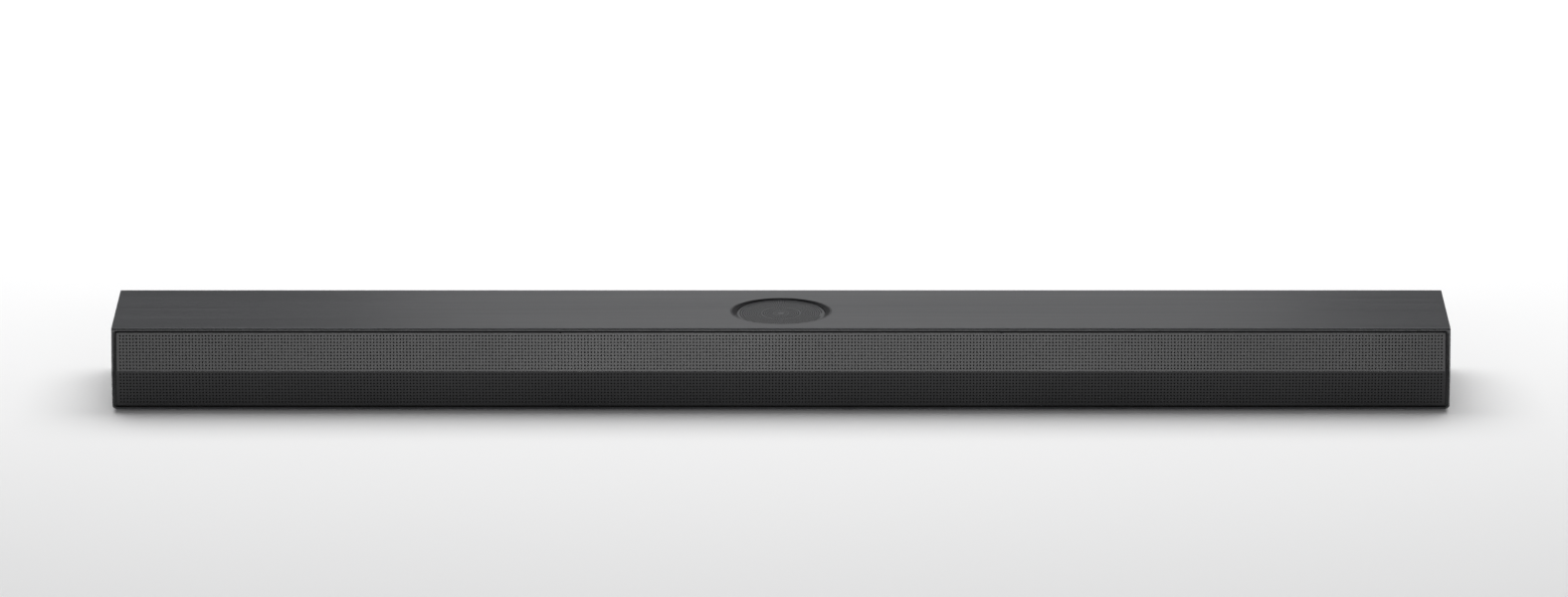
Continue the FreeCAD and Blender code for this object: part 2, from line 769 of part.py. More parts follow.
def makeBasket(name, along):
    own = driverSizes(name)
    half, outer = own["half"], own["radius"]
    body = newPiece(f"{name}_basket")
    flange = cell("flange_thickness")
    inner = outer - own["rim"]
    deep = own["deep"]
    backZ = -deep
    add(body, "Z", -flange, 0, lambda s: drawRacetrack(s, half, outer))
    # sloping shell from the flange to the back plate
    backHalf = None if half is None else half * cell("basket_taper")
    backRadius = own["motor"] + 1 if half is None else own["coil"] + 6
    mouth, back = newSketch(body, "Z", -flange), newSketch(body, "Z", backZ)
    drawRacetrack(mouth, half, inner - 0.2)
    drawRacetrack(back, backHalf, backRadius)
    lofted(body, "PartDesign::AdditiveLoft", [mouth, back])
    shell, plate = cell("basket_shell"), cell("basket_plate")
    innerMouth, innerBack = newSketch(body, "Z", 0.01), newSketch(body, "Z", backZ + plate)
    drawRacetrack(innerMouth, half, inner - shell)
    drawRacetrack(innerBack, backHalf, backRadius - shell)
    lofted(body, "PartDesign::SubtractiveLoft", [innerMouth, innerBack])
    cut(body, "Z", backZ, backZ + plate + 0.1, lambda s: drawCircle(s, 0, 0, own["coil"] + cell("coil_gap")))
    # raised ring that the spider's edge is glued to
    seat = own["coil"] + 3.2

    def seatRing(s):
        drawCircle(s, 0, 0, seat + 1.4)
        drawCircle(s, 0, 0, seat)

    add(body, "Z", backZ + 1.5, backZ + 2.6, seatRing)
    # windows through the sloping shell, on both long sides
    low, high = backZ + 3.4, -flange - 2.2
    span = asSize(outer.value * 0.42) if half is None else half * 0.5

    def windows(s):
        for side in (-1, 1):
            drawBox(s, side * (span + 2) - span / 2 - 2, low, side * (span + 2) + span / 2 + 2, high)

    cut(body, "Y", -outer - 1, outer + 1, windows)
    place(body, name, along)
    return body


def makeMotor(name, along):
    """Front plate, ring magnet and pot with its pole, face to face behind the basket."""
    own = driverSizes(name)
    body = newPiece(f"{name}_motor")
    coil, motor = own["coil"], own["motor"]
    plate, yoke, space = cell("motor_plate"), cell("motor_yoke"), cell("coil_gap")
    magnet = own["travel"] + yoke
    top = -own["deep"]

    def ring(bore):
        def draw(s):
            drawCircle(s, 0, 0, motor)
            drawCircle(s, 0, 0, bore)
        return draw

    add(body, "Z", top - plate, top, ring(coil + space))
    add(body, "Z", top - plate - magnet, top - plate, ring(coil + 2))
    add(body, "Z", top - plate - magnet - yoke, top - plate - magnet, lambda s: drawCircle(s, 0, 0, motor))
    add(body, "Z", top - plate - magnet - 0.2, top, lambda s: drawCircle(s, 0, 0, coil - space))
    place(body, name, along)
    return body


def coneFront(own):
    return own["radius"] - own["rim"] - own["roll"] - 0.3


def makeCone(name, along):
    """Diaphragm, dust cap and voice-coil former, which move as one."""
    own = driverSizes(name)
    body = newPiece(f"{name}_cone")
    half, coil = own["half"], own["coil"]
    thick = cell("cone_wall")
    neckZ = -own["deep"] * 0.55
    wall, edgeZ = cell("former_wall"), -cell("cone_recess")
    neckHalf = None if half is None else asSize(0.6)
    outerEdge, outerNeck = newSketch(body, "Z", edgeZ), newSketch(body, "Z", neckZ)
    drawRacetrack(outerEdge, half, coneFront(own))
    drawRacetrack(outerNeck, neckHalf, coil + wall)
    lofted(body, "PartDesign::AdditiveLoft", [outerEdge, outerNeck])
    innerEdge, innerNeck = newSketch(body, "Z", edgeZ + 0.01), newSketch(body, "Z", neckZ + thick)
    drawRacetrack(innerEdge, half, coneFront(own) - thick)
    drawRacetrack(innerNeck, neckHalf, coil - thick)
    lofted(body, "PartDesign::SubtractiveLoft", [innerEdge, innerNeck])
    # dust cap: a low dome over the coil
    cap = coil - 1
    capZ = neckZ + thick
    turned(body, [(0, capZ - 0.4), (cap, capZ - 0.4), (cap, capZ + 0.6), (cap * 0.7, capZ + 1.8),
                  (cap * 0.35, capZ + 2.4), (0, capZ + 2.6)])
    formerLow = -own["deep"] - 4

    def former(s):
        drawCircle(s, 0, 0, coil + wall)
        drawCircle(s, 0, 0, coil - wall)

    add(body, "Z", formerLow, neckZ + wall, former)
    place(body, name, along)
    return body


def makeSurround(name, along):
    """Half-roll rubber edge between the flange and the diaphragm."""
    own = driverSizes(name)
    body = newPiece(f"{name}_surround")
    half = own["half"]
    roll = own["roll"]
    middle = own["radius"] - own["rim"] - roll / 2
    path = newSketch(body, "Z", 0)
    drawRacetrack(path, half, middle)
    section = newSketch(body, "Y")
    centre = middle if half is None else half + middle
    lip, thick = cell("surround_lip"), cell("surround_sheet")
    outer, inner = roll / 2, roll / 2 - thick
    drawOutline(section, [
        (centre - outer, 0.1), (centre - outer * 0.72, outer * 0.62), (centre, outer),
        (centre + outer * 0.72, outer * 0.62), (centre + outer, 0.1 + thick), (centre + outer + lip, 0.1 + thick),
        (centre + outer + lip, 0.1), (centre + inner, 0.1), (centre + inner * 0.72, inner * 0.62),
        (centre, inner), (centre - inner * 0.72, inner * 0.62), (centre - inner, 0.1)])
    sweep = body.newObject("PartDesign::AdditivePipe", f"{body.Label}_sweep")
    sweep.Profile = section
    sweep.Spine = (path, [])
    doc.recompute()
    place(body, name, along)
    return body


def makeSpider(name, along):
    """Corrugated disc that centres the voice coil."""
    own = driverSizes(name)
    body = newPiece(f"{name}_spider")
    start, end = own["coil"] + 0.5, own["coil"] + cell("spider_width")
    level = -own["deep"] + 2.7
    thick, wave = 0.4, 0.5
    step = (end - start) / 4
    top = [(start + step * n, level + thick + wave * (n % 2)) for n in range(5)]
    low = [(start + step * n, level + wave * (n % 2)) for n in range(5)]
    turned(body, low + top[::-1])
    place(body, name, along)
    return body


def driverScrewPlaces():
    """X and Z of the screws that hold the front drivers and the tweeters to the baffle."""
    places = []
    for name, along in frontDrivers:
        own = driverSizes(name)
        across = own["half"] * 0.9
        up = own["radius"] - cell("flange_screw_inset")
        places += [(along + sx * across, driverZ + sz * up) for sx in (-1, 1) for sz in (-1, 1)]
    return places


def makeDriverScrews():
    body = newPiece("driver_screws")

    def shanks(s):
        for x, z in driverScrewPlaces():
            drawCircle(s, x, z, cell("flange_screw"))

    def heads(s):
        for x, z in driverScrewPlaces():
            drawCircle(s, x, z, cell("flange_screw") + 0.3)

    add(body, "Y", driverFrontY, baffleBackY + 3, shanks)
    add(body, "Y", driverFrontY - 1, driverFrontY, heads)
    return body


def drillFlange(basket, name):
    """Screw holes through a front driver's flange."""
    own = driverSizes(name)
    across = own["half"] * 0.9
    up = own["radius"] - cell("flange_screw_inset")

    def holes(s):
        for sx in (-1, 1):
            for sz in (-1, 1):
                drawCircle(s, sx * across, sz * up, cell("flange_screw") + cell("screw_gap"))

    cut(basket, "Z", -cell("flange_thickness"), 0, holes)


def makeTweeter(side, name):
    """Faceplate, dome with its voice coil, and magnet pot."""
    along = side * cell("tweeter_place")
    dome = cell("tweeter_dome")
    plate = cell("tweeter_plate")
    front = newPiece(f"{name}_tweeter_plate")
    mouth = dome + cell("tweeter_mouth")
    turned(front, [(mouth, -plate), (cell("tweeter_radius"), -plate), (cell("tweeter_radius"), -0.4),
                   (cell("tweeter_radius") - 0.6, 0), (mouth + 3, 0)])
    stand(front, along, baffleFrontY - plate, driverZ, asSize(90))
    moving = newPiece(f"{name}_tweeter_dome")
    high = dome * 0.36
    capZ = -cell("tweeter_cap")
    turned(moving, [
        (0, capZ + high), (dome * 0.45, high * 0.86 + capZ), (dome * 0.8, high * 0.5 + capZ), (dome - 0.6, capZ),
        (dome - 0.6, capZ - 4), (dome - 0.3, capZ - 4), (dome - 0.3, capZ - 0.4), (dome + 1, capZ - 0.4),
        (dome + 1, capZ),
        (dome * 1.02, -1.5), (dome * 0.82, high * 0.5 - 1.8), (dome * 0.46, high * 0.86 - 1.8),
        (0, high - 1.8)])
    stand(moving, along, baffleFrontY - plate, driverZ, asSize(90))
    motor = newPiece(f"{name}_tweeter_motor")
    outer = cell("tweeter_motor")
    wide, low = dome + 0.1, -plate - 0.1
    turned(motor, [
        (0, -13), (outer, -13), (outer, low), (wide + 1.5, low), (wide + 1.5, -3.6), (wide, -3.6), (wide, -9),
        (dome - 1, -9), (dome - 1, -3.4), (0, -3.4)])
    stand(motor, along, baffleFrontY - plate, driverZ, asSize(90))
    return [front, moving, motor]


# ---------------------------------------------------------------- round grille in the lid
def tiltedCut(body, height, radius, deep):
    """A round pocket square to the leaning grille, from a height down."""
    sketch = newSketch(body, "Z", height, cell("upfire_tilt"), discY)
    drawCircle(sketch, 0, 0, radius)
    pocket = body.newObject("PartDesign::Pocket", f"{body.Label}_well")
    pocket.Profile = sketch
    pocket.Length = deep.value
    pocket.setExpression("Length", deep.text)
    doc.recompute()


def makeUpfireBezel():
    """Ring that lines the opening: its wall slopes from the lid's circle to the leaning grille."""
    body = newPiece("upfire_bezel")
    opening, disc = cell("upfire_opening") / 2, cell("upfire_disc") / 2
    gap = cell("fit_gap")
    flangeZ = lidUnderZ - 1.6
    add(body, "Z", flangeZ, lidUnderZ - gap, lambda s: drawCircle(s, 0, upfireY, opening + 1.6))
    add(body, "Z", flangeZ, topZ - gap, lambda s: drawCircle(s, 0, upfireY, opening - gap))
    # collar that reaches down to the driver's flange, square to the grille
    tilt, below = cell("upfire_tilt"), cell("upfire_below")
    collar = newSketch(body, "Z", discZ - below + 0.2, tilt, discY + below * tangent(tilt))
    drawCircle(collar, 0, 0, cell("upfire_flange"))
    wall = body.newObject("PartDesign::Pad", "upfire_bezel_collar")
    wall.Profile = collar
    wall.Length = (below - 1).value
    wall.setExpression("Length", (below - 1).text)
    doc.recompute()
    # the grille drops into a straight well, and the wall above it slopes out to the rim
    seatDeep = cell("upfire_disc_thickness") + cell("cloth") + 3 * gap
    tiltedCut(body, discZ + 5, disc + 2 * gap, seatDeep + 5)
    tiltedCut(body, discZ, disc - 2, below)
    rim = newSketch(body, "Z", topZ + 0.2)
    drawCircle(rim, 0, upfireY, opening - 0.5)
    seat = newSketch(body, "Z", discZ + 0.2, tilt, discY)
    drawCircle(seat, 0, 0, disc + 2 * gap + 0.3)
    lofted(body, "PartDesign::SubtractiveLoft", [rim, seat])
    return body


def makeUpfireGrille():
    """The round perforated disc, plain here."""
    body = newPiece("upfire_grille")
    add(body, "Z", -cell("upfire_disc_thickness"), 0, lambda s: drawCircle(s, 0, 0, cell("upfire_disc") / 2))
    stand(body, 0, discY, discZ, cell("upfire_tilt"))
    return body


def makeUpfireCloth():
    body = newPiece("upfire_cloth")
    top = -cell("upfire_disc_thickness") - cell("fit_gap")
    add(body, "Z", top - cell("cloth"), top, lambda s: drawCircle(s, 0, 0, cell("upfire_disc") / 2 - 0.3))
    stand(body, 0, discY, discZ, cell("upfire_tilt"))
    return body


# ---------------------------------------------------------------- boxes, boards and sockets
def makeSpeakerBox(side, name):
    """Sealed box behind a front driver, open towards the baffle."""
    body = newPiece(f"{name}_speaker_box")
    near, far = cell("box_inner_end"), cell("box_outer_end")
    left, right = (near, far) if side > 0 else (-far, -near)
    front = baffleBackY + cell("fit_gap")
    back = front + cell("box_depth")
    low, high = floorZ + 1, lidUnderZ - 1.2
    add(body, "Y", front, back, lambda s: drawBox(s, left, low, right, high))
    inset = cell("box_wall")
    cut(body, "Y", front, back - inset, lambda s: drawBox(
        s, left + inset, low + inset, right - inset, high - inset))
    # shelf ribs that rest on the floor
    ribs = 4
    step = (far - near) / ribs

    def feet(s):
        for n in range(ribs):
            x = left + step * (n + 0.5)
            drawBox(s, x - 1.5, floorZ + 0.1, x + 1.5, low + 0.5)

    add(body, "Y", front + 6, back - 6, feet)
    return body


def boardPostPlaces():
    """Screw posts under the two boards."""
    inset = cell("post_inset")
    places = []
    for left, long in ((cell("main_left"), cell("main_length")), (cell("power_left"), cell("power_length"))):
        places += [(x, y) for x in (left + inset, left + long - inset)
                   for y in (boardRearY - inset, boardRearY - cell("main_deep") + inset)]
    return places


def makeBoard(name, left, long):
    body = newPiece(name)
    low = cell("board_height")
    front = boardRearY - cell("main_deep")
    add(body, "Z", low, boardTopZ, lambda s: drawBox(s, left, front, left + long, boardRearY))

    def holes(s):
        for x, y in boardPostPlaces():
            if left.value < x.value < left.value + long.value:
                drawCircle(s, x, y, cell("screw_radius") + cell("screw_gap"))

    cut(body, "Z", low, boardTopZ, holes)
    return body


def makeMainBoard():
    """Amplifier and input board with its chips, chokes and capacitors."""
    left = cell("main_left")
    body = makeBoard("main_board", left, cell("main_length"))
    front = boardRearY - cell("main_deep")
    for x, y, wide, tall in ((20, 14, 14, 1.6), (44, 34, 12, 1.4), (66, 30, 10, 1.4), (84, 50, 9, 1.2)):
        add(body, "Z", boardTopZ, boardTopZ + tall, lambda s: drawBox(
            s, left + x, front + y, left + x + wide, front + y + wide))

    def chokes(s):
        for n in range(6):
            drawCircle(s, left + 46 + n * 9, front + 8, asSize(3.6))

    add(body, "Z", boardTopZ, boardTopZ + 7, chokes)
    return body


def makeHeatSink():
    """Finned block over the amplifier chip."""
    body = newPiece("heat_sink")
    left = cell("main_left") + 14
    front = boardRearY - cell("main_deep") + 11
    base = boardTopZ + 1.6
    add(body, "Z", base, base + 3, lambda s: drawBox(s, left, front, left + 28, front + 24))

    def fins(s):
        for n in range(7):
            drawBox(s, left + n * 4.4, front, left + n * 4.4 + 1.4, front + 24)

    add(body, "Z", base + 3, base + 15, fins)
    return body


def makePowerBoard():
    return makeBoard("power_board", cell("power_left"), cell("power_length"))


def makePowerParts():
    """Transformer, reservoir capacitors and chokes standing on the power board."""
    body = newPiece("power_parts")
    left = cell("power_left")
    front = boardRearY - cell("main_deep")
    add(body, "Z", boardTopZ, boardTopZ + 24, lambda s: drawBox(s, left + 46, front + 24, left + 74, front + 50))
    add(body, "Z", boardTopZ, boardTopZ + 20, lambda s: drawBox(s, left + 14, front + 16, left + 32, front + 34))

    def cans(s):
        for n in range(2):
            drawCircle(s, left + 88, front + 20 + n * 21, asSize(9))

    add(body, "Z", boardTopZ, boardTopZ + 28, cans)
    add(body, "Z", boardTopZ, boardTopZ + 16, lambda s: drawBox(s, left + 16, front + 42, left + 36, front + 50))
    return body


def panelEnds():
    start = cell("main_left") - 2
    return start, start + cell("panel_length")


def socketPlaces():
    """Middle and width of each socket along the connector panel, with its height off the board."""
    left = cell("main_left")
    return {
        "hdmi": [(left + 16, 15.4, 6.4), (left + 38, 15.4, 6.4)],
        "optical": [(left + 59, 10.4, 10.4)],
        "usb": [(left + 79, 14.4, 7.4)],
    }


def inletPlace():
    """Middle along the bar, lowest point, width and height of the mains inlet."""
    return cell("power_left") + 26, boardTopZ, cell("inlet_width"), cell("inlet_tall")


def makeConnectorPanel():
    """Plate behind the rear opening that the sockets pass through."""
    body = newPiece("connector_panel")
    left, right = panelEnds()
    front, back = panelBackY, panelBackY + cell("panel_thickness")
    low, high = boardTopZ - 5, boardTopZ + 17
    add(body, "Y", front, back, lambda s: drawBox(s, left, low, right, high))
    gap = cell("socket_gap")

    def holes(s):
        for sockets in socketPlaces().values():
            for x, wide, tall in sockets:
                drawBox(s, x - wide / 2 - gap, boardTopZ - gap, x + wide / 2 + gap, boardTopZ + tall + gap)

    cut(body, "Y", front, back, holes)
    return body


def makeSocket(name, kind, wallThick, deep, tongueTall):
    body = newPiece(name)
    back = panelBackY + cell("panel_thickness")
    front = back - deep
    for x, wide, tall in socketPlaces()[kind]:
        add(body, "Y", front, back, lambda s: drawBox(s, x - wide / 2, boardTopZ, x + wide / 2, boardTopZ + tall))
        cut(body, "Y", front + 2, back, lambda s: drawBox(
            s, x - wide / 2 + wallThick, boardTopZ + wallThick, x + wide / 2 - wallThick,
            boardTopZ + tall - wallThick))
        if tongueTall:
            middle = boardTopZ + tall / 2
            add(body, "Y", front + 1.5, back - 1.2, lambda s: drawBox(
                s, x - wide / 2 + wallThick + 1.4, middle - tongueTall / 2, x + wide / 2 - wallThick - 1.4,
                middle + tongueTall / 2))
    return body


def makeInlet():
    """Two-pin figure-of-eight mains inlet."""
    body = newPiece("mains_inlet")
    x, low, wide, tall = inletPlace()
    add(body, "Y", rearY - cell("inlet_deep"), rearY, lambda s: drawBox(
        s, x - wide / 2, low, x + wide / 2, low + tall))
    middle = low + tall / 2
    radius, apart, mouthY = cell("inlet_mouth"), cell("inlet_pin_place"), rearY - cell("inlet_mouth_deep")
    cut(body, "Y", mouthY, rearY, lambda s: drawBox(
        s, x - apart - radius + 1, middle - radius, x + apart + radius - 1, middle + radius))

    def pins(s):
        for side in (-1, 1):
            drawCircle(s, x + side * apart, middle, cell("inlet_pin"))

    add(body, "Y", mouthY - 1, rearY - 3, pins)
    return body


def makeBoardScrews():
    body = newPiece("board_screws")

    def shanks(s):
        for x, y in boardPostPlaces():
            drawCircle(s, x, y, cell("screw_radius"))

    def heads(s):
        for x, y in boardPostPlaces():
            drawCircle(s, x, y, cell("screw_head"))

    add(body, "Z", floorZ + 0.4, boardTopZ, shanks)
    add(body, "Z", boardTopZ, boardTopZ + cell("head_height"), heads)
    return body


def makeCaseScrews():
    """Screws that come up through the floor into the lid's bosses."""
    body = newPiece("case_screws")

    def shanks(s):
        for x, y in bossPlaces:
            drawCircle(s, x, y, cell("screw_radius"))

    def heads(s):
        for x, y in bossPlaces:
            drawCircle(s, x, y, cell("screw_head"))

    add(body, "Z", floorZ, floorZ + cell("screw_length"), shanks)
    add(body, "Z", floorZ - cell("head_height"), floorZ, heads)
    return body


def makeDisplayBoard():
    """Indicator strip and remote-control eye on the baffle, seen through the sheet when lit."""
    body = newPiece("display_board")
    left = cell("center_length") / 2 + 14
    low, high = driverZ - 7, driverZ + 7
    back = baffleFrontY - cell("fit_gap")
    add(body, "Y", back - 1.2, back, lambda s: drawBox(s, left, low, left + 62, high))
    add(body, "Y", back - 3.2, back - 1.2, lambda s: drawBox(s, left + 6, low + 3, left + 42, high - 3))
    add(body, "Y", back - 3.6, back - 1.2, lambda s: drawCircle(s, left + 52, driverZ, asSize(2.6)))
    return body


# ---------------------------------------------------------------- buttons on the right end
def makeButton(name, step):
    """Round cap with a collar behind the wall and a stem that reaches its switch."""
    body = newPiece(name)
    wallIn = innerX - cell("button_pad")
    y = step * cell("button_pitch")
    z = cell("button_height")
    add(body, "X", wallIn - 2.2, halfWidth, lambda s: drawCircle(s, y, z, cell("button_radius")))
    add(body, "X", wallIn - 1.4, wallIn - 0.1, lambda s: drawCircle(s, y, z, cell("button_radius") + cell("button_collar")))
    add(body, "X", wallIn - 3.4, wallIn - 2, lambda s: drawCircle(s, y, z, cell("button_stem")))
    roundEdges(body, asSize(0.5), lambda e: len(e.Vertexes) == 1 and at(e, "X", halfWidth))
    return body


def makeButtonBoard():
    """Upright board with one tactile switch behind each button."""
    body = newPiece("button_board")
    wallIn = innerX - cell("button_pad")
    stemEnd = wallIn - 3.4
    switchFace = stemEnd - cell("button_travel") - 0.25
    reach = cell("button_pitch") * 2 + 2
    z = cell("button_height")
    add(body, "X", switchFace - 4.6, switchFace - 3, lambda s: drawBox(s, -reach, z - 8, reach, z + 8))

    def switches(s):
        for step in buttonPlaces.values():
            y = step * cell("button_pitch")
            drawBox(s, y - 3, z - 3, y + 3, z + 3)

    add(body, "X", switchFace - 3, switchFace, switches)
    # two legs that stand in the floor
    for side in (-1, 1):
        add(body, "X", switchFace - 4.6, switchFace - 3, lambda s: drawBox(
            s, side * (reach - 4) - 4, floorZ + 0.1, side * (reach - 4) + 4, z - 7))
    return body


# ---------------------------------------------------------------- the whole bar
pieces = [
    makeBottomCase(), makeTopCover(), makeFrontFrame(), makeFrontGrille(), makeGrilleCloth(),
    makeGrilleCarrier(), makeFrontBaffle(), makeFeet(), makeInserts(), makeUpfireBezel(),
    makeUpfireGrille(), makeUpfireCloth(), makeConnectorPanel(), makeMainBoard(), makeHeatSink(),
    makePowerBoard(), makePowerParts(), makeDisplayBoard(), makeButtonBoard(), makeInlet(),
    makeSocket("hdmi_sockets", "hdmi", asSize(0.6), cell("socket_deep"), 1.2),
    makeSocket("optical_socket", "optical", asSize(1.8), cell("socket_deep"), 0),
    makeSocket("usb_socket", "usb", asSize(0.7), cell("socket_deep"), 1.8),
    makeBoardScrews(), makeCaseScrews(), makeDriverScrews(),
]
for side, name in ((-1, "left"), (1, "right")):
    pieces.append(makeSpeakerBox(side, name))
    pieces += makeTweeter(side, name)
for name, along in frontDrivers + [("upfire", asSize(0))]:
    basket = makeBasket(name, along)
    if name != "upfire":
        drillFlange(basket, name)
    pieces.append(basket)
    pieces += [make(name, along) for make in (makeMotor, makeCone, makeSurround, makeSpider)]
for name, step in buttonPlaces.items():
    pieces.append(makeButton(name, step))

doc.recompute()
for thing in doc.Objects:
    if "Invalid" in thing.State or "Error" in thing.State:
        raise RuntimeError(f"{thing.Name} ({thing.Label}) failed: {thing.State}")
os.makedirs("parts", exist_ok=True)
for piece in pieces:
    shape = piece.Shape
    if shape.isNull() or not shape.isValid() or not shape.Solids:
        raise RuntimeError(f"{piece.Label} has no sound shape")
for piece in pieces:
    piece.Shape.exportStep(f"parts/{piece.Label}.step")
    print(f"{piece.Label}: {len(piece.Shape.Solids)} solids, {piece.Shape.Volume:.0f} mm3")
print(f"{len(pieces)} nodes")
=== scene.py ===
import json
import math

import bmesh
import bpy
from mathutils import Matrix, Vector


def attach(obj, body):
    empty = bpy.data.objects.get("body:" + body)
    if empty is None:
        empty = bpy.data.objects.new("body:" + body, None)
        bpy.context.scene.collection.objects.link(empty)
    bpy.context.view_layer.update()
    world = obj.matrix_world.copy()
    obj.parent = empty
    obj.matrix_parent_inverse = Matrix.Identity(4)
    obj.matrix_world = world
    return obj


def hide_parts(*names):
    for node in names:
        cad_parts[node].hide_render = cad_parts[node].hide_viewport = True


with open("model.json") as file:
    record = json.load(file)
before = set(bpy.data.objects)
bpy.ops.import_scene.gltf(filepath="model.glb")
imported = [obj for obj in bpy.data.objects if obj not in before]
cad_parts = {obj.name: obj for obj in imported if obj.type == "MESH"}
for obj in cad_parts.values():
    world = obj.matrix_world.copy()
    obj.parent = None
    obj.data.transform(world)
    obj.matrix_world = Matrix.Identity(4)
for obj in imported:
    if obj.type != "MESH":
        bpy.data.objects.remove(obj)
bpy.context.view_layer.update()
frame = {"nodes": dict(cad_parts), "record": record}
nodes = frame["nodes"]
record = frame["record"]
scene = bpy.context.scene
close = 1e-6
print("frame loaded:", len(nodes), "nodes")


# materials
def addNode(tree, kind, links=None, **settings):
    node = tree.nodes.new(kind)
    for key, value in settings.items():
        setattr(node, key, value)
    for name, value in (links or {}).items():
        if isinstance(value, bpy.types.NodeSocket):
            tree.links.new(value, node.inputs[name])
        else:
            node.inputs[name].default_value = value
    return node


def startMaterial(name, finish):
    material = bpy.data.materials.new(name)
    material.use_nodes = True
    material.diffuse_color = (*finish["light"], 1)
    tree = material.node_tree
    shader = tree.nodes["Principled BSDF"]
    shader.inputs["Metallic"].default_value = finish.get("metal", 0)
    shader.inputs["Specular IOR Level"].default_value = finish.get("specular", 0.5)
    shader.inputs["Coat Weight"].default_value = finish.get("coat", 0)
    shader.inputs["Coat Roughness"].default_value = coatRough
    shader.inputs["Sheen Weight"].default_value = finish.get("sheen", 0)
    shader.inputs["Anisotropic"].default_value = finish.get("anisotropic", 0)
    return material, tree, shader


def scaledPlace(tree, scale, turn=(0, 0, 0)):
    place = addNode(tree, "ShaderNodeTexCoord")
    mapping = addNode(tree, "ShaderNodeMapping", {"Vector": place.outputs["Object"]})
    mapping.inputs["Scale"].default_value = scale
    mapping.inputs["Rotation"].default_value = turn
    return mapping.outputs["Vector"]


def colourMix(tree, share, dark, light):
    mix = addNode(tree, "ShaderNodeMix", data_type="RGBA")
    tree.links.new(share, mix.inputs[0])
    mix.inputs[6].default_value = (*dark, 1)
    mix.inputs[7].default_value = (*light, 1)
    return mix.outputs[2]


def spread(tree, value, low, high, fromLow=0.3, fromHigh=0.7):
    node = addNode(tree, "ShaderNodeMapRange", {
        "Value": value, "From Min": fromLow, "From Max": fromHigh, "To Min": low, "To Max": high})
    return node.outputs["Result"]


def bumped(tree, shader, height, depth):
    bump = addNode(tree, "ShaderNodeBump", {"Height": height, "Strength": bumpStrength, "Distance": depth})
    tree.links.new(bump.outputs["Normal"], shader.inputs["Normal"])


coatRough = 0.12
bumpStrength = 0.7
grainMix = {"fine": 0.65, "broad": 0.35, "low": 0.35, "high": 0.65}
weaveLook = {"waver": 0.6, "slub": (300, 300, 300), "toneTo": 0.55}
boardLook = {"tracks": 140.0, "gap": 0.06, "long": 1.4, "tall": 0.22, "pads": 420.0}


# grain: the two noises' cells per metre along X, Y and Z; a low X number draws the grain out along the bar
def grainMaterial(name, finish):
    material, tree, shader = startMaterial(name, finish)
    fine = addNode(tree, "ShaderNodeTexNoise", {
        "Vector": scaledPlace(tree, finish["grain"]), "Scale": 1.0, "Detail": 5.0, "Roughness": 0.6})
    broad = addNode(tree, "ShaderNodeTexNoise", {
        "Vector": scaledPlace(tree, finish.get("cloud", (9, 9, 9))), "Scale": 1.0, "Detail": 3.0})
    both = addNode(tree, "ShaderNodeMath", operation="MULTIPLY_ADD")
    tree.links.new(broad.outputs["Fac"], both.inputs[0])
    both.inputs[1].default_value = grainMix["broad"]
    share = addNode(tree, "ShaderNodeMath", operation="MULTIPLY")
    tree.links.new(fine.outputs["Fac"], share.inputs[0])
    share.inputs[1].default_value = grainMix["fine"]
    tree.links.new(share.outputs[0], both.inputs[2])
    tone = spread(tree, both.outputs[0], 0, 1, grainMix["low"], grainMix["high"])
    tree.links.new(colourMix(tree, tone, finish["dark"], finish["light"]), shader.inputs["Base Color"])
    low, high = finish["rough"]
    rough = spread(tree, both.outputs[0], low, high, grainMix["low"], grainMix["high"])
    tree.links.new(rough, shader.inputs["Roughness"])
    bumped(tree, shader, fine.outputs["Fac"], finish["bump"])
    return material


# weave: two crossing sets of threads, with a slub noise that breaks them up
def wovenMaterial(name, finish):
    material, tree, shader = startMaterial(name, finish)
    threads = []
    for turn in ((0, 0, 0), (0, math.pi / 2, 0)):
        wave = addNode(tree, "ShaderNodeTexWave", {
            "Vector": scaledPlace(tree, (1, 1, 1), turn), "Scale": finish["threads"],
            "Distortion": weaveLook["waver"], "Detail": 2.0, "Detail Scale": 1.5},
            wave_type="BANDS", bands_direction="X")
        threads.append(wave.outputs["Fac"])
    cross = addNode(tree, "ShaderNodeMath", operation="MULTIPLY")
    tree.links.new(threads[0], cross.inputs[0])
    tree.links.new(threads[1], cross.inputs[1])
    slub = addNode(tree, "ShaderNodeTexNoise", {
        "Vector": scaledPlace(tree, weaveLook["slub"]), "Scale": 1.0, "Detail": 4.0})
    mixed = addNode(tree, "ShaderNodeMath", operation="MULTIPLY")
    tree.links.new(cross.outputs[0], mixed.inputs[0])
    tree.links.new(slub.outputs["Fac"], mixed.inputs[1])
    tone = spread(tree, mixed.outputs[0], 0, 1, 0, weaveLook["toneTo"])
    tree.links.new(colourMix(tree, tone, finish["dark"], finish["light"]), shader.inputs["Base Color"])
    low, high = finish["rough"]
    tree.links.new(spread(tree, slub.outputs["Fac"], low, high), shader.inputs["Roughness"])
    bumped(tree, shader, cross.outputs[0], finish["bump"])
    return material


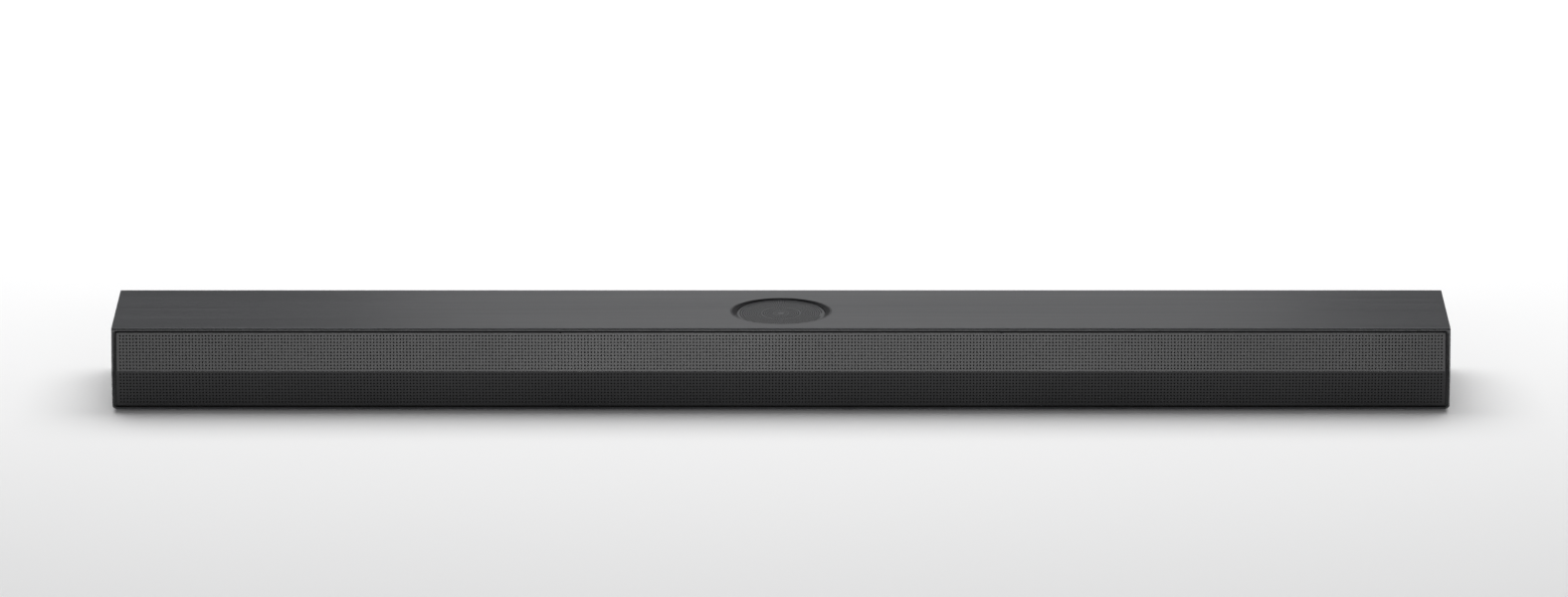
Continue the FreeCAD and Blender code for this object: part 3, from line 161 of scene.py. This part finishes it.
# circuit board: solder mask with straight tracks and pads under it
def boardMaterial(name, finish):
    material, tree, shader = startMaterial(name, finish)
    place = scaledPlace(tree, (1, 1, 1))
    tracks = addNode(tree, "ShaderNodeTexBrick", {
        "Vector": place, "Scale": boardLook["tracks"], "Mortar Size": boardLook["gap"],
        "Brick Width": boardLook["long"], "Row Height": boardLook["tall"],
        "Color1": (0, 0, 0, 1), "Color2": (0.25, 0.25, 0.25, 1), "Mortar": (1, 1, 1, 1)})
    pads = addNode(tree, "ShaderNodeTexVoronoi", {"Vector": place, "Scale": boardLook["pads"]}, feature="F1")
    mask = spread(tree, pads.outputs["Distance"], 1, 0, 0.1, 0.2)
    lit = addNode(tree, "ShaderNodeMath", operation="MAXIMUM")
    tree.links.new(tracks.outputs["Color"], lit.inputs[0])
    tree.links.new(mask, lit.inputs[1])
    colour = colourMix(tree, lit.outputs[0], finish["dark"], finish["light"])
    tree.links.new(colour, shader.inputs["Base Color"])
    low, high = finish["rough"]
    tree.links.new(spread(tree, lit.outputs[0], high, low, 0, 1), shader.inputs["Roughness"])
    bumped(tree, shader, lit.outputs[0], finish["bump"])
    return material


finishes = {
    # outside
    "top_metal": {"kind": "grain", "dark": (0.04, 0.041, 0.044), "light": (0.062, 0.064, 0.068), "metal": 0.6,
                  "specular": 0.5, "rough": (0.28, 0.4), "grain": (7, 2600, 2600), "cloud": (3, 220, 220),
                  "bump": 0.000012, "anisotropic": 0.3},
    "frame_metal": {"kind": "grain", "dark": (0.02, 0.021, 0.022), "light": (0.034, 0.035, 0.037),
                    "metal": 0.3, "rough": (0.3, 0.42), "grain": (900, 900, 900), "bump": 0.00001},
    # a brighter copy of the grille steel: painted light standing in for the light the upward-facing round
    # grille catches
    "disc_steel_painted_light": {"kind": "grain", "dark": (0.05, 0.051, 0.054), "light": (0.075, 0.077, 0.08), "metal": 0.5,
                   "rough": (0.26, 0.36), "grain": (2200, 2200, 2200), "bump": 0.000015},
    # bezel: its own dark tone, made darker still as painted shade for the walls of the round recess
    "bezel_metal": {"kind": "grain", "dark": (0.01, 0.01, 0.011), "light": (0.02, 0.02, 0.022), "metal": 0.2,
                    "specular": 0.35, "rough": (0.3, 0.42), "grain": (1200, 1200, 1200), "bump": 0.00001},
    "grille_steel": {"kind": "grain", "dark": (0.01, 0.01, 0.011), "light": (0.018, 0.018, 0.019), "metal": 0,
                     "specular": 0.33, "rough": (0.25, 0.35), "grain": (2200, 2200, 2200), "bump": 0.000015},
    "case_black": {"kind": "grain", "dark": (0.012, 0.012, 0.013), "light": (0.024, 0.024, 0.026),
                   "specular": 0.4, "rough": (0.5, 0.66), "grain": (2600, 2600, 2600), "bump": 0.00004},
    "panel_plastic": {"kind": "grain", "dark": (0.012, 0.012, 0.013), "light": (0.022, 0.022, 0.024),
                      "rough": (0.42, 0.58), "grain": (3200, 3200, 3200), "bump": 0.00003},
    "button_plastic": {"kind": "grain", "dark": (0.03, 0.03, 0.032), "light": (0.05, 0.05, 0.054),
                       "rough": (0.34, 0.48), "grain": (3600, 3600, 3600), "bump": 0.00001},
    "foot_rubber": {"kind": "grain", "dark": (0.01, 0.01, 0.01), "light": (0.022, 0.022, 0.022),
                    "specular": 0.25, "rough": (0.75, 0.92), "grain": (1800, 1800, 1800), "bump": 0.00004},
    "grille_fabric": {"kind": "weave", "dark": (0.004, 0.004, 0.004), "light": (0.016, 0.016, 0.017),
                      "specular": 0.15, "sheen": 0.1, "rough": (0.8, 0.95), "threads": 320.0, "bump": 0.0001},
    # sockets and fasteners
    "brass_insert": {"kind": "grain", "dark": (0.5, 0.36, 0.14), "light": (0.72, 0.56, 0.28), "metal": 1,
                     "rough": (0.22, 0.38), "grain": (1400, 5200, 1400), "bump": 0.00002},
    "socket_metal": {"kind": "grain", "dark": (0.5, 0.5, 0.52), "light": (0.66, 0.67, 0.69), "metal": 1,
                     "rough": (0.2, 0.36), "grain": (2400, 500, 2400), "bump": 0.000008},
    "socket_plastic": {"kind": "grain", "dark": (0.01, 0.01, 0.011), "light": (0.02, 0.02, 0.022),
                       "rough": (0.28, 0.42), "grain": (2800, 2800, 2800), "bump": 0.00001},
    "screw_steel": {"kind": "grain", "dark": (0.03, 0.03, 0.032), "light": (0.07, 0.07, 0.074), "metal": 0.9,
                    "rough": (0.3, 0.5), "grain": (4200, 4200, 4200), "bump": 0.00001},
    # inside
    "inner_plastic": {"kind": "grain", "dark": (0.012, 0.012, 0.013), "light": (0.026, 0.026, 0.028),
                      "rough": (0.5, 0.68), "grain": (1500, 1500, 1500), "bump": 0.00003},
    "board_green": {"kind": "board", "dark": (0.008, 0.06, 0.03), "light": (0.03, 0.16, 0.08),
                    "rough": (0.25, 0.42), "bump": 0.00003},
    "component_dark": {"kind": "grain", "dark": (0.015, 0.015, 0.018), "light": (0.035, 0.035, 0.04),
                       "coat": 0.2, "rough": (0.25, 0.4), "grain": (1600, 1600, 1600), "bump": 0.00002},
    "sink_aluminium": {"kind": "grain", "dark": (0.56, 0.57, 0.58), "light": (0.75, 0.76, 0.77), "metal": 1,
                       "rough": (0.28, 0.46), "grain": (60, 2600, 2600), "bump": 0.00002},
    "basket_steel": {"kind": "grain", "dark": (0.02, 0.02, 0.022), "light": (0.045, 0.045, 0.048),
                     "metal": 0.2, "rough": (0.36, 0.5), "grain": (1700, 1700, 1700), "bump": 0.00003},
    "motor_steel": {"kind": "grain", "dark": (0.34, 0.35, 0.37), "light": (0.5, 0.51, 0.53), "metal": 1,
                    "rough": (0.26, 0.44), "grain": (900, 4200, 900), "bump": 0.00001},
    "cone_paper": {"kind": "grain", "dark": (0.03, 0.03, 0.031), "light": (0.075, 0.075, 0.078),
                   "specular": 0.25, "rough": (0.72, 0.9), "grain": (500, 1400, 500), "bump": 0.0001},
    "roll_rubber": {"kind": "grain", "dark": (0.012, 0.012, 0.012), "light": (0.028, 0.028, 0.029),
                    "specular": 0.35, "rough": (0.5, 0.66), "grain": (1200, 1200, 1200), "bump": 0.00003},
    "spider_cloth": {"kind": "weave", "dark": (0.3, 0.19, 0.06), "light": (0.55, 0.4, 0.18),
                     "specular": 0.2, "sheen": 0.1, "rough": (0.7, 0.88), "threads": 260.0, "bump": 0.00012},
    "dome_fabric": {"kind": "weave", "dark": (0.03, 0.03, 0.034), "light": (0.09, 0.09, 0.1),
                    "specular": 0.3, "sheen": 0.15, "rough": (0.55, 0.7), "threads": 420.0, "bump": 0.00005},
}
makers = {"grain": grainMaterial, "weave": wovenMaterial, "board": boardMaterial}
materials = {slot: makers[finish["kind"]](slot, finish) for slot, finish in finishes.items()}

for row in record["subparts"]:
    mesh = nodes[row["node"]].data
    mesh.materials.clear()
    mesh.materials.append(materials[row["material_slot"]])
print("materials made:", len(materials))


# making pieces
# sheet grows a wall inward, edge rounds what is sharper than corner, and the level faces stay flat
def finishPiece(bm, name, slot, body, sheet=0, edge=0, sharp=35, corner=30, level=()):
    mesh = bpy.data.meshes.new(name)
    flat = [face in level for face in bm.faces]
    bm.to_mesh(mesh)
    bm.free()
    mesh.shade_smooth()
    mesh.set_sharp_from_angle(angle=math.radians(sharp))
    for polygon, isFlat in zip(mesh.polygons, flat):
        polygon.use_smooth = not isFlat
    piece = bpy.data.objects.new(name, mesh)
    scene.collection.objects.link(piece)
    mesh.materials.append(materials[slot])
    if sheet:
        wall = piece.modifiers.new("wall", "SOLIDIFY")
        wall.thickness = sheet
        wall.offset = -1
        wall.use_even_offset = True
    if edge:
        rounded = piece.modifiers.new("edges", "BEVEL")
        rounded.width = edge
        rounded.segments = 3
        rounded.limit_method = "ANGLE"
        rounded.angle_limit = math.radians(corner)
        rounded.harden_normals = True
    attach(piece, body)
    return piece


def gridOn(bm, columns, rows):
    made = bmesh.ops.create_grid(bm, x_segments=len(columns) - 1, y_segments=len(rows) - 1, size=1)
    across, up = len(columns) - 1, len(rows) - 1
    byPlace = {}
    for vert in made["verts"]:
        column = round((vert.co.x + 1) / 2 * across)
        row = round((vert.co.y + 1) / 2 * up)
        byPlace[column, row] = vert
        vert.co = (columns[column], rows[row], 0)
    return byPlace


# top cover
lid = {
    "halfWidth": 0.4875, "frontY": -0.059, "flatEndY": 0.048, "rearY": 0.0625, "topZ": 0.063, "lowZ": 0.0574,
    "underZ": 0.0622, "rearLip": 0.0008, "holeY": -0.0105, "holeRadius": 0.037, "collar": 0.0015,
    "margin": 0.002, "patch": 0.045, "edge": 0.00038, "skirt": 0.0009, "skirtFrontY": -0.0506,
    "angle": 12, "segments": 128,
}


# opens the level face at this height round the middle of the lid, with a collar of quads if asked for
def openRound(bm, z, collar=0):
    bm.normal_update()
    level = [f for f in bm.faces if abs(f.normal.z) > 0.9999 and abs(f.calc_center_median().z - z) < close
             and abs(f.calc_center_median().x) < close]
    face = max(level, key=lambda f: f.calc_area())
    outline = list(face.edges)
    bmesh.ops.delete(bm, geom=[face], context="FACES_ONLY")
    rings = []
    for radius in ([lid["holeRadius"], lid["holeRadius"] + collar] if collar else [lid["holeRadius"]]):
        circle = bmesh.ops.create_circle(
            bm, segments=lid["segments"], radius=radius,
            matrix=Matrix.Translation((0, lid["holeY"], z)))["verts"]
        rings.append(list({e for v in circle for e in v.link_edges}))
    bmesh.ops.triangle_fill(bm, edges=outline + rings[-1], use_beauty=True, use_dissolve=False)
    if collar:
        bmesh.ops.bridge_loops(bm, edges=rings[0] + rings[1])
    return rings[0]


def makeLid():
    bm = bmesh.new()
    half, margin, patch = lid["halfWidth"], lid["margin"], lid["patch"]
    deep = lid["topZ"] - lid["underZ"]
    profile = [
        (lid["frontY"], lid["topZ"]), (lid["frontY"] + margin, lid["topZ"]),
        (lid["flatEndY"] - margin, lid["topZ"]), (lid["flatEndY"], lid["topZ"]),
        (lid["rearY"], lid["lowZ"] + lid["rearLip"]), (lid["rearY"], lid["lowZ"]),
        (lid["rearY"] - 3 * deep, lid["lowZ"]), (lid["flatEndY"] - deep, lid["underZ"]),
        (lid["skirtFrontY"], lid["underZ"]), (lid["frontY"], lid["underZ"])]
    corners = [bm.verts.new((-half, y, z)) for y, z in profile]
    outline = [bm.edges.new(pair) for pair in zip(corners, corners[1:] + corners[:1])]
    end = bmesh.ops.edgenet_fill(bm, edges=outline)["faces"]
    inner = half - lid["skirt"]
    stops = [-half, -inner, margin - half, -patch, patch, half - margin, inner, half]
    for before, after in zip(stops, stops[1:]):
        made = bmesh.ops.extrude_face_region(bm, geom=end)["geom"]
        if before > -half:
            bmesh.ops.delete(bm, geom=end, context="FACES")
        end = [g for g in made if isinstance(g, bmesh.types.BMFace)]
        corners = [g for g in made if isinstance(g, bmesh.types.BMVert)]
        bmesh.ops.translate(bm, vec=(after - before, 0, 0), verts=corners)
    bmesh.ops.recalc_face_normals(bm, faces=bm.faces)
    # the ends are folded down to the bottom case
    bm.normal_update()
    under = [f for f in bm.faces if f.normal.z < -0.5 and abs(f.calc_center_median().x) > inner
             and lid["skirtFrontY"] < f.calc_center_median().y < lid["rearY"] - 3 * deep]
    folded = bmesh.ops.extrude_face_region(bm, geom=under)["geom"]
    bmesh.ops.delete(bm, geom=under, context="FACES")
    for vert in (g for g in folded if isinstance(g, bmesh.types.BMVert)):
        vert.co.z = lid["lowZ"]
    bmesh.ops.remove_doubles(bm, verts=bm.verts, dist=close)
    rings = openRound(bm, lid["topZ"], lid["collar"]) + openRound(bm, lid["underZ"])
    bmesh.ops.bridge_loops(bm, edges=rings)
    bmesh.ops.recalc_face_normals(bm, faces=bm.faces)
    cover = finishPiece(bm, "brushed_top_cover", "top_metal", "case", edge=lid["edge"],
                        sharp=lid["angle"], corner=lid["angle"])
    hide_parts("top_cover")


makeLid()
print("top cover made")


# creased front grille
grille = {
    "halfWidth": 0.4849, "topZ": 0.0603, "lowZ": 0.0039, "creaseZ": 0.0313, "creaseY": -0.062,
    "slopeUp": 0.1151, "slopeDown": 0.1195, "pitch": 0.0024, "columns": 402, "rowsLow": 10, "rowsUp": 11,
    "hole": 0.00066, "roll": 0.0012, "flange": 0.0022, "sheet": 0.0006, "cornerShare": 0.72,
    "sharp": 40,
}


def frontY(z):
    rise = z - grille["creaseZ"]
    return grille["creaseY"] + (grille["slopeUp"] * rise if rise > 0 else -grille["slopeDown"] * rise)


def fieldLines(low, high, count):
    pitch = grille["pitch"]
    start = (low + high - count * pitch) / 2
    return [start + step * pitch / 2 for step in range(2 * count + 1)]


def makeGrilleSheet():
    flatHalf = grille["halfWidth"] - grille["roll"]
    low, high = grille["lowZ"] + grille["roll"], grille["topZ"] - grille["roll"]
    columns = [-flatHalf, *fieldLines(-flatHalf, flatHalf, grille["columns"]), flatHalf]
    rows = [low, *fieldLines(low, grille["creaseZ"], grille["rowsLow"]), grille["creaseZ"],
            *fieldLines(grille["creaseZ"], high, grille["rowsUp"]), high]
    bm = bmesh.new()
    byPlace = gridOn(bm, columns, rows)
    outer = [e for e in bm.edges if e.is_boundary]
    creaseRow = 2 * grille["rowsLow"] + 2
    centres = []
    for (column, row), vert in byPlace.items():
        vert.co = (vert.co.x, frontY(vert.co.y), vert.co.y)
        inField = 0 < column < len(columns) - 1 and 0 < row < len(rows) - 1 and row != creaseRow
        lineOdd = (row % 2 == 0) if row < creaseRow else ((row - creaseRow) % 2 == 0)
        if inField and column % 2 == 0 and lineOdd:
            centres.append(vert)
    # folded edge: a quarter roll in three steps, then a short flange
    steps = [(grille["roll"] * math.sin(a), grille["roll"] * (1 - math.cos(a)))
             for a in (0, math.pi / 6, math.pi / 3, math.pi / 2)]
    moves = [(b[0] - a[0], b[1] - a[1]) for a, b in zip(steps, steps[1:])] + [(0, grille["flange"])]
    for out, back in moves:
        folded = bmesh.ops.extrude_edge_only(bm, edges=outer)["geom"]
        outer = [g for g in folded if isinstance(g, bmesh.types.BMEdge)
                 and all(len(v.link_faces) < 3 for v in g.verts) and g.is_boundary]
        for vert in (g for g in folded if isinstance(g, bmesh.types.BMVert)):
            atEnd = (abs(abs(vert.co.x) - flatHalf) < grille["roll"] + close
                     and abs(vert.co.x) >= flatHalf - close)
            atLevel = vert.co.z >= high - close or vert.co.z <= low + close
            share = grille["cornerShare"] if atEnd and atLevel else 1
            if atEnd:
                vert.co.x += math.copysign(out * share, vert.co.x)
            if atLevel:
                vert.co.z += out * share if vert.co.z > grille["creaseZ"] else -out * share
            vert.co.y += back
    print("grille sheet:", len(centres), "holes to punch")
    radius = grille["hole"]
    made = bmesh.ops.bevel(
        bm, geom=centres, offset=radius, offset_type="OFFSET", affect="VERTICES", segments=2, profile=0.5,
        material=-1, clamp_overlap=False)
    rim = list(made["verts"])
    faces = list(made["faces"])
    firstColumn, firstLow, firstUp = columns[1], rows[1], rows[creaseRow + 1]
    bmesh.ops.delete(bm, geom=faces, context="FACES")
    pitch = grille["pitch"]
    for vert in (v for v in rim if v.is_valid):
        x = firstColumn + (math.floor((vert.co.x - firstColumn) / pitch) + 0.5) * pitch
        first = firstUp if vert.co.z > grille["creaseZ"] else firstLow
        z = first + (math.floor((vert.co.z - first) / pitch) + 0.5) * pitch
        away = Vector((vert.co.x - x, vert.co.z - z))
        away *= radius / max(away.length, 1e-9)
        vert.co = (x + away.x, frontY(z + away.y), z + away.y)
    bmesh.ops.recalc_face_normals(bm, faces=bm.faces)
    if max(bm.faces, key=lambda f: f.calc_area()).normal.y > 0:
        bmesh.ops.reverse_faces(bm, faces=bm.faces)
    return bm, columns


def makeGrille():
    whole, columns = makeGrilleSheet()
    third = grille["columns"] // 3 * grille["pitch"]
    cuts = [-1, columns[1] + third, columns[1] + 2 * third, 1]
    for name, low, high in zip(("left", "middle", "right"), cuts, cuts[1:]):
        part = whole.copy()
        others = [f for f in part.faces if not low < f.calc_center_median().x < high]
        bmesh.ops.delete(part, geom=others, context="FACES")
        # the two facets stay flat, so the holes' walls don't bend their light
        facets = {f for f in part.faces if abs(f.normal.z) < 0.2 and abs(f.normal.x) < 0.05}
        piece = finishPiece(part, f"front_grille_{name}", "grille_steel", "case", sheet=grille["sheet"],
                            sharp=grille["sharp"], level=facets)
        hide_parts("front_grille")
        print("front grille", name, "faces", len(piece.data.polygons))
    whole.free()


makeGrille()


# cloth behind the grille
cloth = {
    "halfWidth": 0.4832, "lowZ": 0.0056, "highZ": 0.0586, "behind": 0.0009, "thick": 0.0004, "across": 160,
    "rowsBelow": [0.012, 0.02, 0.027], "rowsAbove": [0.036, 0.044, 0.052], "creaseAllowance": 1.01,
}


def makeCloth():
    bm = bmesh.new()
    width = 2 * cloth["halfWidth"]
    columns = [-cloth["halfWidth"] + width * step / cloth["across"] for step in range(cloth["across"] + 1)]
    rows = [cloth["lowZ"], *cloth["rowsBelow"], grille["creaseZ"], *cloth["rowsAbove"], cloth["highZ"]]
    for vert in gridOn(bm, columns, rows).values():
        vert.co = (vert.co.x, frontY(vert.co.y) + cloth["behind"], vert.co.y)
    bmesh.ops.recalc_face_normals(bm, faces=bm.faces)
    if max(bm.faces, key=lambda f: f.calc_area()).normal.y > 0:
        bmesh.ops.reverse_faces(bm, faces=bm.faces)
    piece = finishPiece(bm, "front_cloth", "grille_fabric", "case", sheet=cloth["thick"])
    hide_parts("grille_cloth")


makeCloth()
print("cloth made")


# round grille in the top
disc = {
    "y": -0.007, "z": 0.0603, "tilt": 2.5, "radius": 0.0325, "sheet": 0.0006,
    "zones": [(96, 0.0308, 0.0145), (48, 0.0139, 0.0057), (24, 0.0052, 0.0024)], "holeShare": 0.36,
    "roll": 0.0006, "drop": 0.0003, "sharp": 40,
    "clothRadius": 0.0315, "clothDown": 0.0012, "clothThick": 0.0004, "clothAreaShare": 0.998,
}


def discPlace():
    return Matrix.Translation((0, disc["y"], disc["z"])) @ Matrix.Rotation(math.radians(disc["tilt"]), 4, "X")


# rings whose cells are as long as they are wide, from the outside in
def ringRadii(outerRadius, innerRadius, sectors):
    count = max(1, round(math.log(outerRadius / innerRadius) / (2 * math.pi / sectors)))
    ratio = (innerRadius / outerRadius) ** (1 / (2 * count))
    return [outerRadius * ratio ** step for step in range(2 * count + 1)]


def makeZone(bm, radii, sectors):
    line = [bm.verts.new((radius, 0, 0)) for radius in radii]
    edges = [bm.edges.new(pair) for pair in zip(line, line[1:])]
    before = set(bm.verts)
    bmesh.ops.spin(bm, geom=line + edges, cent=(0, 0, 0), axis=(0, 0, 1), angle=2 * math.pi,
                   steps=2 * sectors, use_merge=True, use_duplicate=False)
    zone = [v for v in bm.verts if v in set(line) or v not in before]
    step = math.pi / sectors
    for k in range(1, len(radii), 2):
        centres = [v for v in zone if v.is_valid and abs(v.co.length - radii[k]) < 1e-7
                   and round(math.atan2(v.co.y, v.co.x) / step) % 2 == 1]
        radius = disc["holeShare"] * (radii[k - 1] - radii[k + 1])
        made = bmesh.ops.bevel(
            bm, geom=centres, offset=radius, offset_type="OFFSET", affect="VERTICES", segments=2, profile=0.5,
            material=-1, clamp_overlap=False)
        rim = list(made["verts"])
        bmesh.ops.delete(bm, geom=list(made["faces"]), context="FACES")
        for vert in (v for v in rim if v.is_valid):
            turn = math.atan2(vert.co.y, vert.co.x) / step
            nearest = (2 * math.floor(turn / 2) + 1) * step
            centre = Vector((radii[k] * math.cos(nearest), radii[k] * math.sin(nearest), 0))
            vert.co = centre + (vert.co - centre).normalized() * radius


def circleEdges(bm, radius):
    return [e for e in bm.edges if e.is_boundary and all(abs(v.co.length - radius) < close for v in e.verts)]


def makeDisc():
    bm = bmesh.new()
    zones = [(sectors, ringRadii(outer, inner, sectors)) for sectors, outer, inner in disc["zones"]]
    for sectors, radii in zones:
        makeZone(bm, radii, sectors)
    for (_, outside), (_, inside) in zip(zones, zones[1:]):
        bmesh.ops.bridge_loops(bm, edges=circleEdges(bm, outside[-1]) + circleEdges(bm, inside[0]))
    bmesh.ops.contextual_create(bm, geom=circleEdges(bm, zones[-1][1][-1]))
    # plain margin, then the edge turned down
    edges = circleEdges(bm, zones[0][1][0])
    full, roll = disc["radius"], disc["roll"]
    turned = [(full - roll, 0), (full - 0.3 * roll, -0.3 * roll), (full, -roll), (full, -roll - disc["drop"])]
    for radius, z in turned:
        made = bmesh.ops.extrude_edge_only(bm, edges=edges)["geom"]
        edges = [g for g in made if isinstance(g, bmesh.types.BMEdge) and g.is_boundary
                 and all(v in made for v in g.verts)]
        for vert in (g for g in made if isinstance(g, bmesh.types.BMVert)):
            flat = Vector((vert.co.x, vert.co.y)).normalized() * radius
            vert.co = (flat.x, flat.y, z)
    bmesh.ops.recalc_face_normals(bm, faces=bm.faces)
    if sum(f.normal.z * f.calc_area() for f in bm.faces) < 0:
        bmesh.ops.reverse_faces(bm, faces=bm.faces)
    bm.normal_update()
    field = {f for f in bm.faces if f.normal.z > 0.99}
    bmesh.ops.transform(bm, matrix=discPlace(), verts=bm.verts)
    piece = finishPiece(bm, "round_grille", "grille_steel", "case", sheet=disc["sheet"],
                        sharp=disc["sharp"], level=field)
    # the round grille takes the brighter copy of the grille steel, painted light for its upward face
    piece.data.materials[0] = materials["disc_steel_painted_light"]
    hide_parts("upfire_grille")
    print("round grille faces", len(piece.data.polygons))


def makeDiscCloth():
    bm = bmesh.new()
    bmesh.ops.create_circle(bm, segments=96, radius=disc["clothRadius"], cap_ends=True, cap_tris=False,
                            matrix=discPlace() @ Matrix.Translation((0, 0, -disc["clothDown"])))
    bmesh.ops.recalc_face_normals(bm, faces=bm.faces)
    if max(bm.faces, key=lambda f: f.calc_area()).normal.z < 0:
        bmesh.ops.reverse_faces(bm, faces=bm.faces)
    piece = finishPiece(bm, "round_cloth", "grille_fabric", "case", sheet=disc["clothThick"])
    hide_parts("upfire_cloth")


makeDisc()
makeDiscCloth()
print("round grille made")


# feet
foot = {"x": 0.4255, "y": 0.0385, "radius": 0.012, "top": 0.003, "edge": 0.0006, "groove": 0.0005,
        "turns": 48}


def makeFeet():
    bm = bmesh.new()
    for side in (-1, 1):
        for end in (-1, 1):
            radius, edge, groove = foot["radius"], foot["edge"], foot["groove"]
            outline = [(0, 0), (radius * 0.3, 0), (radius * 0.34, groove), (radius * 0.42, groove),
                       (radius * 0.46, 0), (radius * 0.66, 0), (radius * 0.7, groove),
                       (radius * 0.78, groove), (radius * 0.82, 0), (radius - edge, 0),
                       (radius - 0.3 * edge, 0.3 * edge), (radius, edge),
                       (radius, foot["top"]), (0, foot["top"])]
            centre = Vector((side * foot["x"], end * foot["y"], 0))
            line = [bm.verts.new(centre + Vector((r, 0, z))) for r, z in outline]
            edges = [bm.edges.new(pair) for pair in zip(line, line[1:])]
            bmesh.ops.spin(bm, geom=line + edges, cent=centre, axis=(0, 0, 1), angle=2 * math.pi,
                           steps=foot["turns"], use_merge=True, use_duplicate=False)
    bmesh.ops.remove_doubles(bm, verts=bm.verts, dist=close)
    bmesh.ops.recalc_face_normals(bm, faces=bm.faces)
    piece = finishPiece(bm, "rubber_foot_pads", "foot_rubber", "case")
    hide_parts("rubber_feet")


makeFeet()
print("feet made")


# buttons on the right end
button = {"radius": 0.004, "z": 0.030, "pitch": 0.014, "face": 0.4874, "edge": 0.0005, "dish": 0.00025,
          "back": 0.4845, "line": 0.00035, "mark": 0.0011, "markDeep": 0.0002, "markSink": 0.00008,
          "turns": 48}
buttonSteps = {"power": 1.5, "volume_up": 0.5, "volume_down": -0.5, "source": -1.5}


def addBar(bm, y, z, wide, tall):
    made = bmesh.ops.create_cube(bm, size=1)["verts"]
    x = button["face"] - 0.5 * button["dish"]
    bmesh.ops.scale(bm, vec=(button["dish"] + button["markDeep"], wide, tall), verts=made)
    bmesh.ops.translate(bm, vec=(x - button["markSink"], y, z), verts=made)


def makeButton(name, step):
    bm = bmesh.new()
    y, z = step * button["pitch"], button["z"]
    radius, edge, face = button["radius"], button["edge"], button["face"]
    dish = button["dish"]
    outline = [(0, face - dish), (radius * 0.4, face - dish * 0.84), (radius * 0.8, face - dish * 0.36),
               (radius - edge, face), (radius - 0.3 * edge, face - 0.3 * edge), (radius, face - edge),
               (radius, button["back"]), (0, button["back"])]
    line = [bm.verts.new((x, y, z + r)) for r, x in outline]
    edges = [bm.edges.new(pair) for pair in zip(line, line[1:])]
    bmesh.ops.spin(bm, geom=line + edges, cent=(0, y, z), axis=(1, 0, 0), angle=2 * math.pi,
                   steps=button["turns"], use_merge=True, use_duplicate=False)
    bmesh.ops.remove_doubles(bm, verts=bm.verts, dist=close)
    bmesh.ops.recalc_face_normals(bm, faces=bm.faces)
    mark, width = button["mark"], button["line"]
    if name in ("volume_up", "volume_down"):
        addBar(bm, y, z, 2 * mark, width)
    if name in ("volume_up", "power"):
        addBar(bm, y, z, width, 2 * mark)
    if name == "source":
        for side in (-1, 1):
            addBar(bm, y + side * mark, z, width, 2 * mark)
            addBar(bm, y, z + side * mark, 2 * mark + width, width)
    piece = finishPiece(bm, f"{name}_cap", "button_plastic", f"{name}_button")
    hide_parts(f"button_{name}")


for name, step in buttonSteps.items():
    makeButton(name, step)
print("buttons made")


# floor, light and camera
floorLook = {"half": 9, "grey": (0.86, 0.86, 0.86), "specular": 0.1, "rough": 0.9}


def makeFloor():
    bm = bmesh.new()
    bmesh.ops.create_grid(bm, x_segments=1, y_segments=1, size=floorLook["half"])
    mesh = bpy.data.meshes.new("floor")
    bm.to_mesh(mesh)
    bm.free()
    floor = bpy.data.objects.new("floor", mesh)
    scene.collection.objects.link(floor)
    material, tree, shader = startMaterial(
        "pale_floor", {"light": floorLook["grey"], "specular": floorLook["specular"]})
    shader.inputs["Base Color"].default_value = (*floorLook["grey"], 1)
    shader.inputs["Roughness"].default_value = floorLook["rough"]
    mesh.materials.append(material)


lamps = {
    "overhead": {"place": (0, 1.2, 2.0), "aim": (0, 1.2, 0), "size": (3.6, 2.4), "power": 83},
    "frontStrip": {"place": (0, -3.2, 0.05), "aim": (0, 0, 0.03), "size": (1.4, 0.1), "power": 18},
    "frontTop": {"place": (0, -3.0, 0.9), "aim": (0, 0, 0.05), "size": (2.4, 0.5), "power": 26},
    "backGlow": {"place": (0.06, 2.3, 0.62), "aim": (0, 0, 0.06), "size": (0.9, 0.4), "power": 0.85},
}


worldLight = {"colour": (1, 1, 1.02), "strength": 0.15}


def makeLights():
    for name, lamp in lamps.items():
        light = bpy.data.lights.new(name, "AREA")
        light.shape = "RECTANGLE"
        light.size, light.size_y = lamp["size"]
        light.energy = lamp["power"]
        holder = bpy.data.objects.new(name, light)
        scene.collection.objects.link(holder)
        holder.location = lamp["place"]
        aim = Vector(lamp["aim"]) - Vector(lamp["place"])
        holder.rotation_euler = aim.to_track_quat("-Z", "Y").to_euler()
    world = bpy.data.worlds.new("studio")
    scene.world = world
    world.use_nodes = True
    background = world.node_tree.nodes["Background"].inputs
    background["Color"].default_value = (*worldLight["colour"], 1)
    background["Strength"].default_value = worldLight["strength"]


camera = {"elevation": 15.0, "distance": 7.307, "lens": 228.93, "sensor": 36, "far": 60,
          "aim": (0.00226, -0.0055, 0.07102)}


def makeCamera():
    data = bpy.data.cameras.new("camera")
    data.lens = camera["lens"]
    data.sensor_width = camera["sensor"]
    data.clip_end = camera["far"]
    holder = bpy.data.objects.new("camera", data)
    scene.collection.objects.link(holder)
    rise = math.radians(camera["elevation"])
    aim = Vector(camera["aim"])
    holder.location = aim + camera["distance"] * Vector((0, -math.cos(rise), math.sin(rise)))
    holder.rotation_euler = (math.pi / 2 - rise, 0, 0)
    scene.camera = holder


makeFloor()
makeLights()
makeCamera()
scene.view_settings.view_transform = "Standard"
print("stage made")
